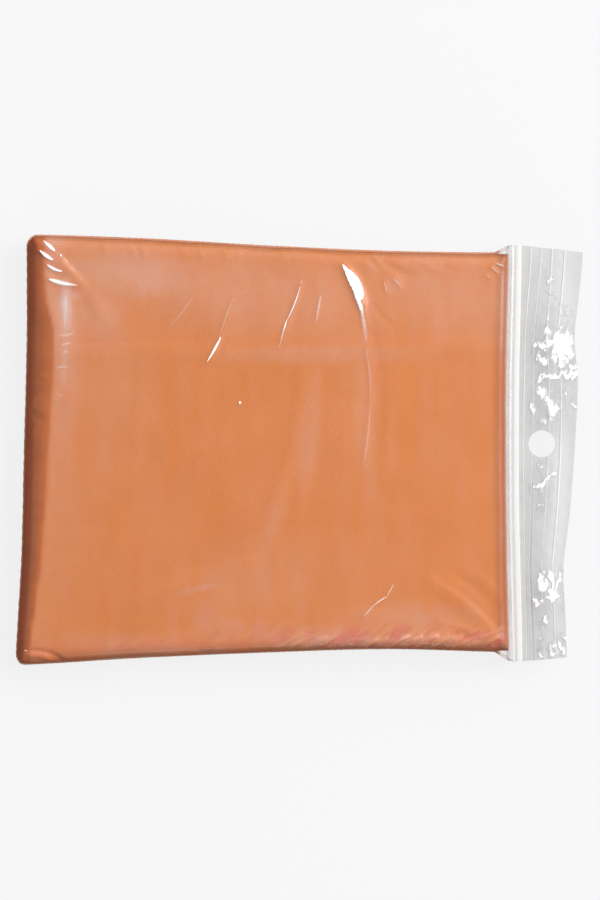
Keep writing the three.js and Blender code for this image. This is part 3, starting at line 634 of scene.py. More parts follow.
@dataclass(frozen=True)
class PacketForm:
    """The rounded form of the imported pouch, as a function of a nominal place on it.

    A place is given by its distances from the lower left corner of a plain rectangle. The form
    bends that rectangle to the true outline and rounds its rims and corners.
    """

    height: float = 12.2
    seam: float = 5.2
    length: float = 111.4
    width: float = 94.3
    zip_half: float = 1.15
    seat: float = 0.3
    flare_length: float = 4.0
    flare_lower: float = 2.0
    flare_upper: float = 1.6
    corner_left: float = 0.6
    corner_right: float = 0.12
    over: Rims = Rims(left=5.2, right=3.4, lower=4.2, upper=4.6)
    under: Rims = Rims(left=3.6, right=3.0, lower=3.2, upper=3.2)
    shares: Knots = (0.0, 0.25, 0.5, 0.75, 1.0)
    left: Knots = (-64.1, -62.8, -62.2, -61.6, -61.6)
    zip_line: Knots = (49.3, 48.8, 48.6, 48.7, 49.2)
    lower: Knots = (-48.7, -47.1, -45.9, -45.1, -45.8)
    upper: Knots = (48.6, 47.7, 46.1, 44.9, 44.5)
    rim_shares: Knots = (0.0, 0.25, 0.5, 0.68, 0.78, 0.86, 1.0)
    left_rim: Knots = (0.66, 0.95, 1.14, 1.26, 1.26, 0.9, 0.86)
    round_power: float = 3.0
    fold_power: float = 1.9
    zip_power: float = 3.4
    power_blend: float = 0.3

    def rim_line(self, y: Array) -> Array:
        """x of the crisp upper edge of the folded end at y."""
        share = (y - self.lower[0]) / (self.upper[0] - self.lower[0])
        return knot_curve(self.shares, self.left)(share) + self.left_reach(share)

    def left_reach(self, share: Array) -> Array:
        """How far in the folded end's rim reaches, at a share of the width."""
        return self.over.left * knot_curve(self.rim_shares, self.left_rim)(share)

    def rim_share(self, x: Array, y: Array) -> Array:
        """How far up the folded end's rim a place lies: 0 at the pouch's edge and 1 on the top."""
        share = (y - self.lower[0]) / (self.upper[0] - self.lower[0])
        edge = knot_curve(self.shares, self.left)(share)
        return (x - edge) / (self.rim_line(y) - edge)

    def zip_at(self, y: Array) -> Array:
        """x of the zip's middle line at y."""
        share = (y - self.lower[-1]) / (self.upper[-1] - self.lower[-1])
        return knot_curve(self.shares, self.zip_line)(share)

    def bent(self, along: Array, across: Array, flared: bool) -> tuple[Array, Array]:
        """Bends a nominal place to the true outline.

        Edge curves of the outline are blended straight across, and near the zip the film flares
        out to the zip's ends.

        Args:
            along: Distance from the left edge of the rectangle.
            across: Distance from its lower edge.
            flared: True for the film, false for the garment.

        Returns:
            x and y.
        """
        u, v = along / self.length, across / self.width
        right = knot_curve(self.shares, self.zip_line)(v) - self.zip_half - self.seat
        x = blend(knot_curve(self.shares, self.left)(v), right, u)
        near_zip = smoothstep(self.length - self.flare_length, self.length, along) * float(flared)
        low = knot_curve(self.shares, self.lower)(u) - near_zip * self.flare_lower
        high = knot_curve(self.shares, self.upper)(u) + near_zip * self.flare_upper
        return x, blend(low, high, v)

    def point(self, along: Array, across: Array, depth: Array, above: bool, flared: bool) -> Array:
        """A point that lies depth inside the packet's skin.

        With q the distance from the nearest edge as a share of that rim, the skin rises from the
        seam by its crown times (1 - (1 - q)^n)^(1/n). n is near 2, a quarter ellipse, over the
        folded end and larger, so fuller, elsewhere. Near a corner the two legs of each ring of
        equal q are carried onto a quarter circle.

        Args:
            along: Nominal distance from the left edge.
            across: Nominal distance from the lower edge.
            depth: Distance inside the skin.
            above: True over the seam line, false under it.
            flared: True for the film, false for the garment.

        Returns:
            An array of points.
        """
        along, across, depth = np.broadcast_arrays(along, across, depth)
        rims = self.over if above else self.under
        on_right, on_upper = along > self.length / 2, across > self.width / 2
        left_reach = rims.left / self.over.left * self.left_reach(across / self.width)
        reach_x = np.where(on_right, rims.right, left_reach)
        reach_y = np.where(on_upper, rims.upper, rims.lower)
        edge_x = np.minimum(along, self.length - along)
        edge_y = np.minimum(across, self.width - across)
        near_x, near_y = edge_x / reach_x, edge_y / reach_y
        ring = np.clip(np.minimum(near_x, near_y), 0.0, 1.0)
        round_share = np.where(on_right, self.corner_right, self.corner_left)
        cornered = (near_x < round_share) & (near_y < round_share)
        radius = np.maximum(round_share - ring, 1e-9)
        angle = np.clip((round_share - np.maximum(near_x, near_y)) / radius, 0.0, 1.0) * np.pi / 4
        long, short = round_share - radius * np.cos(angle), round_share - radius * np.sin(angle)
        x_is_long = near_x <= near_y
        near_x = np.where(cornered, np.where(x_is_long, long, short), near_x)
        near_y = np.where(cornered, np.where(x_is_long, short, long), near_y)
        moved_x = np.where(near_x < 1, depth + near_x * (reach_x - depth), edge_x)
        moved_y = np.where(near_y < 1, depth + near_y * (reach_y - depth), edge_y)
        x, y = self.bent(
            np.where(on_right, self.length - moved_x, moved_x),
            np.where(on_upper, self.width - moved_y, moved_y),
            flared,
        )
        by_end = smoothstep(-self.power_blend, self.power_blend, near_y - near_x) * float(above)
        end_power = np.where(on_right, self.zip_power, self.fold_power)
        power = blend(self.round_power, end_power, by_end)
        lift = (1.0 - (1.0 - ring) ** power) ** (1.0 / power)
        crown = self.height - depth if above else depth
        return np.stack([x, y, blend(self.seam, crown, lift)], axis=-1)

    def lengthwise(self, rims: Rims, least: Spot, steps: int, cells: int) -> Array:
        """Stations from the folded end to the zip. See stations."""
        return self.stations(self.length, (rims.left, rims.right), least, steps, cells)

    def crosswise(self, rims: Rims, least: Spot, steps: int, cells: int) -> Array:
        """Stations from the lower weld to the upper one. See stations."""
        return self.stations(self.width, (rims.lower, rims.upper), least, steps, cells)

    def stations(self, span: float, reach: Spot, least: Spot, steps: int, cells: int) -> Array:
        """Distances from one edge to the other.

        Round both rims the steps follow 1 - cos of an even angle, so that they are even along
        the rounded skin, and between the rims they are even.

        Args:
            span: Length or width of the rectangle.
            reach: Reach of the first and of the last rim.
            least: Share of each rim at which to start and to end.
            steps: Steps round each rim.
            cells: Steps between the rims.

        Returns:
            The distances in rising order.
        """
        first, last = reach

        def rim(share: float) -> Array:
            """Steps round a rim from a share of it, as shares of its reach."""
            return 1.0 - np.cos(np.linspace(math.acos(1.0 - share), math.pi / 2, steps + 1))

        middle = np.linspace(first, span - last, cells + 1)[1:-1]
        return np.concatenate([rim(least[0]) * first, middle, (span - rim(least[1]) * last)[::-1]])


@dataclass(frozen=True)
class GarmentRelief:
    """The low steps and ripples of the folded garment's top, which the film lies on."""

    form: PacketForm
    upper_step: float = 24.2
    lower_step: float = -16.4
    step_height: float = 0.2
    ripple: float = 0.08
    fold_bead: float = 0.12
    seed: int = 11
    crimps_from: float = -6.0
    crimps_to: float = 42.5
    crimps_level: float = -45.2
    puckers_to: float = 44.0
    pucker_pitch: float = 4.3

    def lower_crimps(self) -> tuple[Crease, ...]:
        """Short slanting puckers along the lower weld, which grow longer and higher at first."""
        rng = np.random.default_rng(self.seed)
        made = []
        x = self.crimps_from
        while x < self.crimps_to:
            grown = min(1.0, (x - self.crimps_from + 2.0) / 20.0)
            reach = rng.uniform(3.8, 7.0) * (0.6 + 0.4 * grown)
            low = self.crimps_level + rng.uniform(-0.2, 0.5)
            height = rng.uniform(0.4, 0.8) * (0.4 + 0.6 * grown)
            end = (x + reach, low + reach * rng.uniform(0.5, 0.75))
            made.append(Crease((x, low), end, 0.2, 0.42, 0.34, height))
            x += rng.uniform(1.2, 2.2)
        return tuple(made)

    def upper_puckers(self) -> tuple[Crease, ...]:
        """Fainter puckers along the upper weld, at an even pitch but for a random shift."""
        rng = np.random.default_rng(self.seed + 1)
        starts = np.arange(-self.puckers_to, self.puckers_to, self.pucker_pitch)
        starts = starts + rng.uniform(-1.2, 1.2, len(starts))
        heights = rng.uniform(0.05, 0.14, len(starts))
        lows = 47.2 - 0.028 * (starts + 50.0)
        return tuple(
            Crease((x, y), (x + 1.6, y - 4.0), 0.2, 0.7, 0.5, height)
            for x, y, height in zip(starts, lows, heights)
        )

    def along_noise(self, x: Array, length: float, seed: int) -> Array:
        """Smooth noise that changes along the packet only, over the given length."""
        return lattice_noise(x / length, x * 0.0, seed)

    def height(self, x: Array, y: Array) -> Array:
        """Height over the plain form: two folded edges, a soft roll beside the upper one, ripples.

        Args:
            x: Places along the packet.
            y: Places across it.

        Returns:
            The height in millimetres.
        """
        upper_line = self.upper_step + 0.012 * (x + 20.0) + 0.25 * self.along_noise(x, 16.0, 3)
        lower_line = self.lower_step + 0.3 * self.along_noise(x, 19.0, 5)
        inner = smoothstep(47.0, 36.0, x) * smoothstep(-56.0, -48.0, x)
        worn = np.clip(0.4 + self.along_noise(x, 15.0, 8), 0.0, 1.0)
        faded = (0.55 + 0.45 * worn) * inner
        upper = -self.step_height * faded * smoothstep(-0.9, 0.9, y - upper_line)
        roll = 0.55 * self.step_height * np.exp(-(((y - upper_line + 2.4) / 1.5) ** 2))
        broken = np.clip(0.5 + 0.9 * self.along_noise(x, 14.0, 7), 0.0, 1.0)
        lower = 0.4 * broken * self.step_height * smoothstep(-0.6, 0.6, y - lower_line)
        ripples = self.ripple * layered_noise(x / 11.0, y / 19.0, self.seed, 4)
        return upper + roll + lower + ripples

    def lift(self, grid: Array, level: Array) -> Array:
        """A form's points moved out by the relief, where they are level, and by every crease.

        Args:
            grid: Points, rows x columns x 3.
            level: 1 on the flat top and 0 down the rims.

        Returns:
            The moved points.
        """
        x, y = grid[..., 0], grid[..., 1]
        creases = FILM_CREASES + self.lower_crimps() + self.upper_puckers()
        height = crease_field(creases, x, y) * (0.3 + 0.7 * level) + self.height(x, y) * level
        fold = np.exp(-(((x - self.form.rim_line(y) - 0.7) / 0.8) ** 2))
        uneven = 0.7 + 0.5 * lattice_noise(x * 0.0, y / 4.0, self.seed + 9)
        height = height + self.fold_bead * fold * uneven
        return grid + grid_normals(grid) * height[..., None]


class NodeSheet:
    """A node tree with short calls that add a node and link its inputs."""

    def __init__(self, tree: bpy.types.NodeTree) -> None:
        """Keeps the tree, which starts empty."""
        self.tree = tree
        tree.nodes.clear()

    def add(self, kind: str, inputs: dict | None = None, **settings: object) -> bpy.types.Node:
        """Adds a node.

        Args:
            kind: The node's class in bpy.types, without ShaderNode at its start.
            inputs: For each input's name or number, a socket to link or a value to set.
            settings: Attributes of the node.

        Returns:
            The node.
        """
        node = self.tree.nodes.new(kind if kind.startswith("NodeGroup") else "ShaderNode" + kind)
        for name, value in settings.items():
            setattr(node, name, value)
        for key, value in (inputs or {}).items():
            if isinstance(value, Socket):
                self.tree.links.new(value, node.inputs[key])
            else:
                node.inputs[key].default_value = value
        return node

    def math(
        self, operation: str, first: object, second: object = 0.0, clamp: bool = False
    ) -> Socket:
        """A Math node's result."""
        values = {0: first, 1: second}
        return self.add("Math", values, operation=operation, use_clamp=clamp).outputs[0]

    def mix(self, share: object, low: object, high: object) -> Socket:
        """A colour between two, by share."""
        return self.add("Mix", {0: share, 6: low, 7: high}, data_type="RGBA").outputs[2]

    def value_of(self, name: str) -> Socket:
        """The piece's own value of that name."""
        return self.add("Attribute", attribute_name=name).outputs["Fac"]

    def place(self) -> Socket:
        """The place on the piece, in Object coordinates."""
        return self.add("TexCoord").outputs["Object"]

    def noise(self, place: Socket, scale: object, detail: float) -> bpy.types.Node:
        """A Noise Texture."""
        return self.add("TexNoise", {"Vector": place, "Scale": scale, "Detail": detail})

    def spread(self, value: Socket, low: float, high: float, smooth: bool = False) -> Socket:
        """A value carried from low..high to 0..1 and kept there, by a smoothstep if asked."""
        kind = "SMOOTHSTEP" if smooth else "LINEAR"
        return self.add("MapRange", {0: value, 1: low, 2: high}, interpolation_type=kind).outputs[0]

    def group(self, tree: bpy.types.ShaderNodeTree, **inputs: float) -> bpy.types.NodeOutputs:
        """Places a node group with its own values, and gives its outputs."""
        values = {label.replace("_", " ").title(): value for label, value in inputs.items()}
        return self.add("Group", values, node_tree=tree).outputs

    def bump(
        self, height: Socket, strength: float, distance: float, under: Socket | None = None
    ) -> Socket:
        """A Bump node's normal, on top of another normal if one is given."""
        inputs = {"Height": height, "Strength": strength, "Distance": distance}
        if under is not None:
            inputs["Normal"] = under
        return self.add("Bump", inputs).outputs[0]


def shared_group(
    name: str,
    inputs: dict[str, float],
    wire: Callable[[NodeSheet, bpy.types.NodeOutputs], dict[str, Socket]],
) -> bpy.types.ShaderNodeTree:
    """The shader group of that name, which is made when it is first asked for.

    Args:
        name: The group's name.
        inputs: Each input's name and default.
        wire: Adds the group's nodes, given its sheet and the sockets of its inputs, and returns
            the socket that feeds each output.

    Returns:
        The group.
    """
    if name in bpy.data.node_groups:
        return bpy.data.node_groups[name]
    group = bpy.data.node_groups.new(name, "ShaderNodeTree")
    for label, default in inputs.items():
        socket = group.interface.new_socket(label, in_out="INPUT", socket_type="NodeSocketFloat")
        socket.default_value = default
    sheet = NodeSheet(group)
    made = wire(sheet, sheet.add("NodeGroupInput").outputs)
    for label in made:
        group.interface.new_socket(label, in_out="OUTPUT", socket_type="NodeSocketFloat")
    sheet.add("NodeGroupOutput", made)
    return group


def film_grain_group() -> bpy.types.ShaderNodeTree:
    """Blown film's surface: cloudy thickness, fine die lines along X and a fine grain.

    Returns:
        A group with the outputs Cloud and Grain, from 0 to 1, and Relief, a height.
    """

    def wire(sheet: NodeSheet, given: bpy.types.NodeOutputs) -> dict[str, Socket]:
        """Adds the group's nodes and gives the sockets of its outputs."""
        place = sheet.place()
        cloud = sheet.noise(place, given["Cloud Scale"], 4.0).outputs[0]
        drawn = sheet.add("Mapping", {"Vector": place, "Scale": (0.03, 1.0, 1.0)}).outputs[0]
        lines = sheet.noise(drawn, 900.0, 2.0).outputs[0]
        grain = sheet.noise(place, 2600.0, 2.0).outputs[0]
        relief = sheet.math("MULTIPLY", lines, given["Line Share"])
        relief = sheet.math("ADD", relief, sheet.math("MULTIPLY", grain, given["Grain Share"]))
        return {"Cloud": cloud, "Relief": sheet.math("ADD", relief, cloud), "Grain": grain}

    inputs = {"Cloud Scale": 60.0, "Line Share": 0.4, "Grain Share": 0.3}
    return shared_group("blown_film_grain", inputs, wire)


def crimp_group() -> bpy.types.ShaderNodeTree:
    """Fine slanting crimps where a piece's crimp value is high: noise drawn out along a slant.

    Returns:
        A group with the outputs Relief, a height, and Shade, from 0 to 1 down in the crimps.
    """

    def wire(sheet: NodeSheet, given: bpy.types.NodeOutputs) -> dict[str, Socket]:
        """Adds the group's nodes and gives the sockets of its outputs."""
        slant = {"Vector": sheet.place(), "Rotation": (0.0, 0.0, 0.6), "Scale": (3.4, 1.0, 1.0)}
        drawn = sheet.add("Mapping", slant, vector_type="TEXTURE").outputs[0]
        noise = sheet.noise(drawn, given["Pitch"], 2.0).outputs[0]
        crimp = sheet.value_of("crimp")
        low = sheet.spread(noise, 0.52, 0.36, smooth=True)
        relief = sheet.math("MULTIPLY", noise, crimp)
        return {"Relief": relief, "Shade": sheet.math("MULTIPLY", low, crimp)}

    return shared_group("weld_crimps", {"Pitch": 560.0}, wire)


def stroke_group() -> bpy.types.ShaderNodeTree:
    """Draws the painted gleams that a piece's stroke values describe.

    The mask is a smoothstep of the room left inside the stroke, which is its half width less the
    distance from its line, as a share of the half width times the stroke's softness. A faint
    stroke is broken up by a fine noise.

    Returns:
        A group with the output Gleam, from 0 to 1.
    """

    def wire(sheet: NodeSheet, given: bpy.types.NodeOutputs) -> dict[str, Socket]:
        """Adds the group's nodes and gives the sockets of its outputs."""
        reach, shine = sheet.value_of("stroke_reach"), sheet.value_of("stroke_shine")
        soft = sheet.value_of("stroke_soft")
        room = sheet.math("SUBTRACT", reach, sheet.math("ABSOLUTE", sheet.value_of("stroke_off")))
        least = sheet.math("MAXIMUM", sheet.math("MULTIPLY", reach, soft), given["Least Reach"])
        inside = sheet.spread(sheet.math("DIVIDE", room, least, clamp=True), 0.0, 1.0, smooth=True)
        mask = sheet.math("POWER", inside, sheet.math("ADD", 0.5, soft))
        noise = sheet.noise(sheet.place(), 1300.0, 1.0).outputs[0]
        rough = sheet.math("ADD", sheet.math("MULTIPLY", noise, 1.6), 0.2)
        broken = sheet.math("MINIMUM", sheet.math("MULTIPLY", mask, rough), 1.0)
        solid = sheet.math("GREATER_THAN", shine, given["Solid Shine"])
        mask = sheet.math("MAXIMUM", broken, sheet.math("MULTIPLY", mask, solid))
        return {"Gleam": sheet.math("MULTIPLY", mask, shine)}

    inputs = {"Least Reach": 0.02, "Solid Shine": 0.4}
    return shared_group("film_gleam_strokes", inputs, wire)


def crumple_group() -> bpy.types.ShaderNodeTree:
    """Painted glints on crumpled film, in shards.

    A piece's painted glint value is raised and lowered by angular cells with a value each and by a
    noise that also bends the cells, and what comes out high is a painted shard. A painted veil lies
    between.

    Returns:
        A group with the outputs Shard, the painted glint from 0 to 1, and Relief, a height.
    """

    def wire(sheet: NodeSheet, given: bpy.types.NodeOutputs) -> dict[str, Socket]:
        """Adds the group's nodes and gives the sockets of its outputs."""
        turn = {"Vector": sheet.place(), "Rotation": (0.0, 0.0, 0.3), "Scale": (1.0, 0.6, 1.0)}
        turned = sheet.add("Mapping", turn).outputs[0]
        noise = sheet.noise(turned, 520.0, 2.0)
        noise.inputs["Roughness"].default_value = 0.6
        bend = {0: noise.outputs["Color"], 1: (0.0012, 0.0012, 0.0)}
        shift = sheet.add("VectorMath", bend, operation="MULTIPLY").outputs[0]
        moved = sheet.add("VectorMath", {0: turned, 1: shift}, operation="ADD").outputs[0]
        cells = sheet.add("TexVoronoi", {"Vector": moved, "Scale": 1400.0}).outputs["Color"]
        facet = sheet.add("SeparateColor", {0: cells}).outputs
        broken = sheet.math("ADD", sheet.math("MULTIPLY", facet[0], 0.45), noise.outputs[0])
        broken = sheet.math("MULTIPLY", sheet.math("SUBTRACT", broken, 0.72), given["Break"])
        painted_glint = sheet.value_of("painted_glint")
        raised = sheet.math("MULTIPLY", broken, sheet.math("SQRT", painted_glint))
        cut = sheet.spread(sheet.math("ADD", painted_glint, raised), 0.08, 1.12, smooth=True)
        shard = sheet.math("MULTIPLY", cut, sheet.math("ADD", facet[1], 0.5), clamp=True)
        veil = sheet.math("MULTIPLY", sheet.math("MINIMUM", painted_glint, 0.7), given["Veil"])
        relief = sheet.math("ADD", facet[0], noise.outputs[0])
        return {
            "Shard": sheet.math("MAXIMUM", shard, veil),
            "Relief": sheet.math("MULTIPLY", relief, painted_glint),
        }

    return shared_group("crumpled_film_shards", {"Break": 1.15, "Veil": 0.4}, wire)


def material_sheet(name: str) -> tuple[bpy.types.Material, NodeSheet]:
    """A new material with an empty node tree, and that tree."""
    material = bpy.data.materials.new(name)
    material.use_nodes = True
    material.cycles.emission_sampling = "NONE"
    return material, NodeSheet(material.node_tree)


@dataclass(frozen=True)
class PonchoFinish:
    """Thin orange polythene film with a light emboss, folded many times."""

    name: str = "orange_poncho_film"
    base: Colour = (0.596, 0.188, 0.047, 1.0)
    warm: Colour = (0.572, 0.176, 0.039, 1.0)
    speck_and_shade_red: Colour = (0.52, 0.05, 0.03, 1.0)
    brown: Colour = (0.3, 0.07, 0.018, 1.0)
    roughness: float = 0.5
    specular: float = 0.3
    speckle: float = 0.35
    crimp_shade: float = 0.62
    emboss: float = 0.3
    crimp_bump: float = 0.8

    def build(self) -> bpy.types.Material:
        """The material. Its colour clouds over and is specked, and takes painted shade, deep red
        and brown, where the piece's values say so.
        """
        material, sheet = material_sheet(self.name)
        grain = sheet.group(film_grain_group(), cloud_scale=90.0, line_share=0.25, grain_share=0.8)
        crimps = sheet.group(crimp_group())
        cloud = sheet.spread(grain["Cloud"], 0.35, 0.65)
        specks = sheet.math("MULTIPLY", sheet.spread(grain["Grain"], 0.5, 0.8), self.speckle)
        crimped = sheet.math("MULTIPLY", crimps["Shade"], self.crimp_shade)
        colour = sheet.mix(cloud, self.base, self.warm)
        colour = sheet.mix(specks, colour, self.speck_and_shade_red)
        # Painted shade: deep red by the fold values, brown round the rims and by the zip, deep red
        # in the crimps.
        colour = sheet.mix(sheet.value_of("painted_red_shade"), colour, self.speck_and_shade_red)
        colour = sheet.mix(sheet.value_of("rim_shade"), colour, self.brown)
        colour = sheet.mix(crimped, colour, self.speck_and_shade_red)
        fine = sheet.bump(grain["Relief"], self.emboss, 0.0001)
        shader = sheet.add(
            "BsdfPrincipled",
            {
                "Base Color": colour,
                "Roughness": self.roughness,
                "Specular IOR Level": self.specular,
                "Normal": sheet.bump(crimps["Relief"], self.crimp_bump, 0.001, fine),
            },
        )
        sheet.add("OutputMaterial", {0: shader.outputs[0]})
        return material


@dataclass(frozen=True)
class ClearFilmFinish:
    """Clear polythene film: it lets most light through, hazes where it stands off and has painted
    gleams.
    """

    tone: FilmTone
    tint: Colour = (1.0, 0.95, 0.92, 1.0)
    cover: float = 0.008
    haze_cover: float = 0.12
    gleam_cover: float = 0.95
    edge_cover: float = 0.04
    edge_blend: float = 0.28
    edge_power: float = 2.2
    metal: float = 0.12
    painted_glow: float = 0.3
    roughness: float = 0.15
    shine: float = 0.5
    bump: float = 0.08
    shard_relief: float = 6.0

    def build(self) -> bpy.types.Material:
        """The material: a transparent shader mixed with a glossy one by how much the film shows.

        That share is a base, plus cloudy haze, the painted gleams, and more at grazing angles. The
        painted gleams also turn the colour white and glow.
        """
        material, sheet = material_sheet(self.tone.value)
        cloud = relief = sheet.noise(sheet.place(), 260.0, 1.0).outputs[0]
        gleam = sheet.group(stroke_group())["Gleam"]
        if self.tone is FilmTone.LIP:
            # On the lip the painted glints of its crumples join the painted gleams.
            shards = sheet.group(crumple_group())
            gleam = sheet.math("MAXIMUM", gleam, shards["Shard"])
            crumpled = sheet.math("MULTIPLY", shards["Relief"], self.shard_relief)
            relief = sheet.math("ADD", crumpled, cloud)
        cloudy = sheet.math("ADD", sheet.math("MULTIPLY", cloud, 0.7), 0.65)
        hazy = sheet.math("MULTIPLY", sheet.value_of("haze"), cloudy)
        facing = sheet.add("LayerWeight", {"Blend": self.edge_blend}).outputs["Facing"]
        grazing = sheet.math("POWER", facing, self.edge_power)
        cover = sheet.math("ADD", sheet.math("MULTIPLY", hazy, self.haze_cover), self.cover)
        cover = sheet.math("ADD", cover, sheet.math("MULTIPLY", grazing, self.edge_cover))
        gleaming = sheet.math("MULTIPLY", gleam, self.gleam_cover)
        cover = sheet.math("ADD", cover, gleaming, clamp=True)
        dull = sheet.math("SUBTRACT", 1.0, gleam, clamp=True)
        # Painted glow: the gleams emit light, though the film is no lamp.
        painted_glow = sheet.math("MULTIPLY", sheet.math("POWER", gleam, 2.0), self.painted_glow)
        shader = sheet.add(
            "BsdfPrincipled",
            {
                "Base Color": sheet.mix(gleam, self.tint, WHITE),
                "Metallic": sheet.math("MULTIPLY", dull, self.metal),
                "Roughness": self.roughness,
                "Specular IOR Level": self.shine,
                "Emission Color": WHITE,
                "Emission Strength": painted_glow,
                "Normal": sheet.bump(relief, self.bump, 0.0002),
            },
        )
        clear = sheet.add("BsdfTransparent").outputs[0]
        mixed = sheet.add("MixShader", {0: cover, 1: clear, 2: shader.outputs[0]})
        sheet.add("OutputMaterial", {0: mixed.outputs[0]})
        return material


@dataclass(frozen=True)
class MilkyZipFinish:
    """Thick extruded polythene, white where the rails are thick and grey where they are thin."""

    name: str = "milky_zip"
    thick: Colour = (0.77, 0.765, 0.755, 1.0)
    thin: Colour = (0.5, 0.5, 0.5, 1.0)
    roughness: float = 0.3
    cloudiness: float = 0.2
    grain_bump: float = 0.12

    def build(self) -> bpy.types.Material:
        """The material. The piece's rail value chooses between the two colours."""
        material, sheet = material_sheet(self.name)
        grain = sheet.group(film_grain_group(), cloud_scale=300.0)
        cloud = sheet.math("MULTIPLY", grain["Cloud"], self.cloudiness)
        rail = sheet.math("SUBTRACT", sheet.value_of("rail"), cloud, clamp=True)
        shader = sheet.add(
            "BsdfPrincipled",
            {
                "Base Color": sheet.mix(rail, self.thin, self.thick),
                "Roughness": self.roughness,
                "Normal": sheet.bump(grain["Relief"], self.grain_bump, 0.0002),
            },
        )
        sheet.add("OutputMaterial", {0: shader.outputs[0]})
        return material


def dress(piece: Piece, material: bpy.types.Material, node: str) -> None:
    """Gives a piece its material and its place on the body, and hides its solid.

    Args:
        piece: The piece.
        material: Its material.
        node: The CAD node that it stands for.
    """
    piece.data.materials.append(material)
    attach(piece, BODY)
    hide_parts(node)
    LOG.info("%s: %d points", piece.name, len(piece.data.vertices))


@dataclass
class FoldedPoncho:
    """The folded garment: its outer turn of film and the hidden turns inside."""

    form: PacketForm
    relief: GarmentRelief
    finish: bpy.types.Material
    skin: float = 0.25
    wall: float = 0.3
    play: float = 0.4
    turn_edge: float = 0.05
    layers: int = 13
    seed: int = 23
    fine_width: float = 7.0
    fine_share: float = 0.18
    upper_fold_shade: float = 0.1
    lower_fold_shade: float = 0.03
    weld_shade: float = 0.18
    outer_rim_red_shade: float = 0.5
    rim_red_shade: float = 0.2
    outer_rim_shade: float = 0.02
    rim_brown: float = 0.36
    zip_brown: float = 0.66
    facet_share: float = 0.2
    most_brown: float = 0.95
    crisp_edge: Spot = (1.0, 0.93)
    dark_at: Knots = (-48.0, -24.0, 0.0, 16.0, 28.0, 36.0, 48.0)
    dark_share: Knots = (0.56, 0.5, 0.42, 0.24, 0.3, 0.62, 0.6)
    groove_depth: float = 0.4
    layer_wave: float = 0.1

    def outer_turn(self) -> None:
        """The outer turn: over the top, round the folded end and back along the under side.

        Each row of the grid runs over the top from the zip end to the left, round the seam line
        and back below, with the same nested form above and below the seam.
        """
        form, edge, steps = self.form, self.turn_edge, 12
        over = form.lengthwise(form.over, (0.0, edge), steps, 176)[::-1]
        under = form.lengthwise(form.under, (0.0, edge), steps, 32)[1:]
        upper = self.rows(form.over, steps)
        lower = self.rows(form.under, steps)
        top = form.point(over[None, :], upper[:, None], self.skin, True, False)
        level = smoothstep(form.seam + 1.5, form.height - 0.6, top[..., 2])
        top = self.relief.lift(top[:, ::-1], level[:, ::-1])[:, ::-1]
        bottom = form.point(under[None, :], lower[:, None], self.skin, False, False)
        grid = np.concatenate([top, bottom], axis=1)
        ends = np.minimum(upper, form.width - upper)[:, None] * np.ones(grid.shape[1])
        fray = lattice_noise(grid[..., 0] / 5.0, grid[..., 1] / 9.0, self.seed)
        hem = smoothstep(1.6, 0.7, ends)
        grid[..., 1] += 0.12 * fray * hem
        piece = grid_object("poncho_outer_turn", grid, Facing.TURNED)
        add_values(piece, "painted_red_shade", self.fold_lines(grid))
        add_values(piece, "rim_shade", self.rim_shade(grid))
        add_values(piece, "crimp", self.crimp_share(grid))
        thicken(piece, self.wall)
        dress(piece, self.finish, "outer_turn")

    def rows(self, rims: Rims, steps: int) -> Array:
        """Distances across the packet, twice as close together near the lower weld as elsewhere."""
        form, edge = self.form, self.turn_edge
        rows = form.crosswise(rims, (edge, edge), steps, 160)
        first, last = rows[steps], rows[-1 - steps]
        even = np.linspace(0.0, 1.0, len(rows) - 2 * steps)
        close = self.fine_width / (last - first)
        share = np.interp(even, (0.0, self.fine_share, 1.0), (0.0, close, 1.0))
        rows[steps : len(rows) - steps] = blend(first, last, share)
        return rows

    def fold_lines(self, grid: Array) -> Array:
        """Painted shade in deep red: along the two folded edges, towards the lower weld, round the
        folded end's rim and under folds of film.
        """
        x, y = grid[..., 0], grid[..., 1]
        line = np.exp(-(((y - self.relief.upper_step - 0.2) / 0.7) ** 2))
        low = np.exp(-(((y - self.relief.lower_step) / 0.8) ** 2))
        broken = 0.5 + 0.5 * lattice_noise(x / 11.0, y * 0.0, self.seed + 4)
        folds = (self.upper_fold_shade * line + self.lower_fold_shade * low) * broken
        folds = folds + self.weld_shade * smoothstep(-41.5, -46.0, y)
        up = self.form.rim_share(x, y)
        outer = self.outer_rim_red_shade * self.outer_rim(up, y)
        rim = np.maximum(outer, self.rim_red_shade * smoothstep(*self.crisp_edge, up))
        return np.maximum(np.maximum(folds, rim), patch_field(PAINTED_SHADE_PATCHES, x, y, 0.7))

    def rim_shade(self, grid: Array) -> Array:
        """Painted brown shade: dark round the folded end, paler up to its crisp edge, and by the
        zip.

        Up the folded end the shade varies in facets, broad across it and short along it.
        """
        x, y = grid[..., 0], grid[..., 1]
        up = self.form.rim_share(x, y)
        rim = self.outer_rim_shade * self.outer_rim(up, y)
        rim = rim + self.rim_brown * smoothstep(*self.crisp_edge, up)
        facets = np.tanh(4.0 * layered_noise(x / 6.0 + 0.2 * y, y / 2.6, self.seed + 6, 2))
        from_zip = x - self.form.zip_at(y)
        by_zip = smoothstep(-5.6, -3.4, from_zip) * (1.0 - 0.6 * smoothstep(-3.0, -1.6, from_zip))
        shade = rim * (1.0 + self.facet_share * facets) + self.zip_brown * by_zip
        return np.clip(shade, 0.0, self.most_brown)

    def outer_rim(self, up: Array, y: Array) -> Array:
        """1 on the outer, darker part of the folded end's rim, whose breadth varies along it."""
        dark = knot_curve(self.dark_at, self.dark_share)(y)
        return smoothstep(dark + 0.12, dark - 0.08, up)

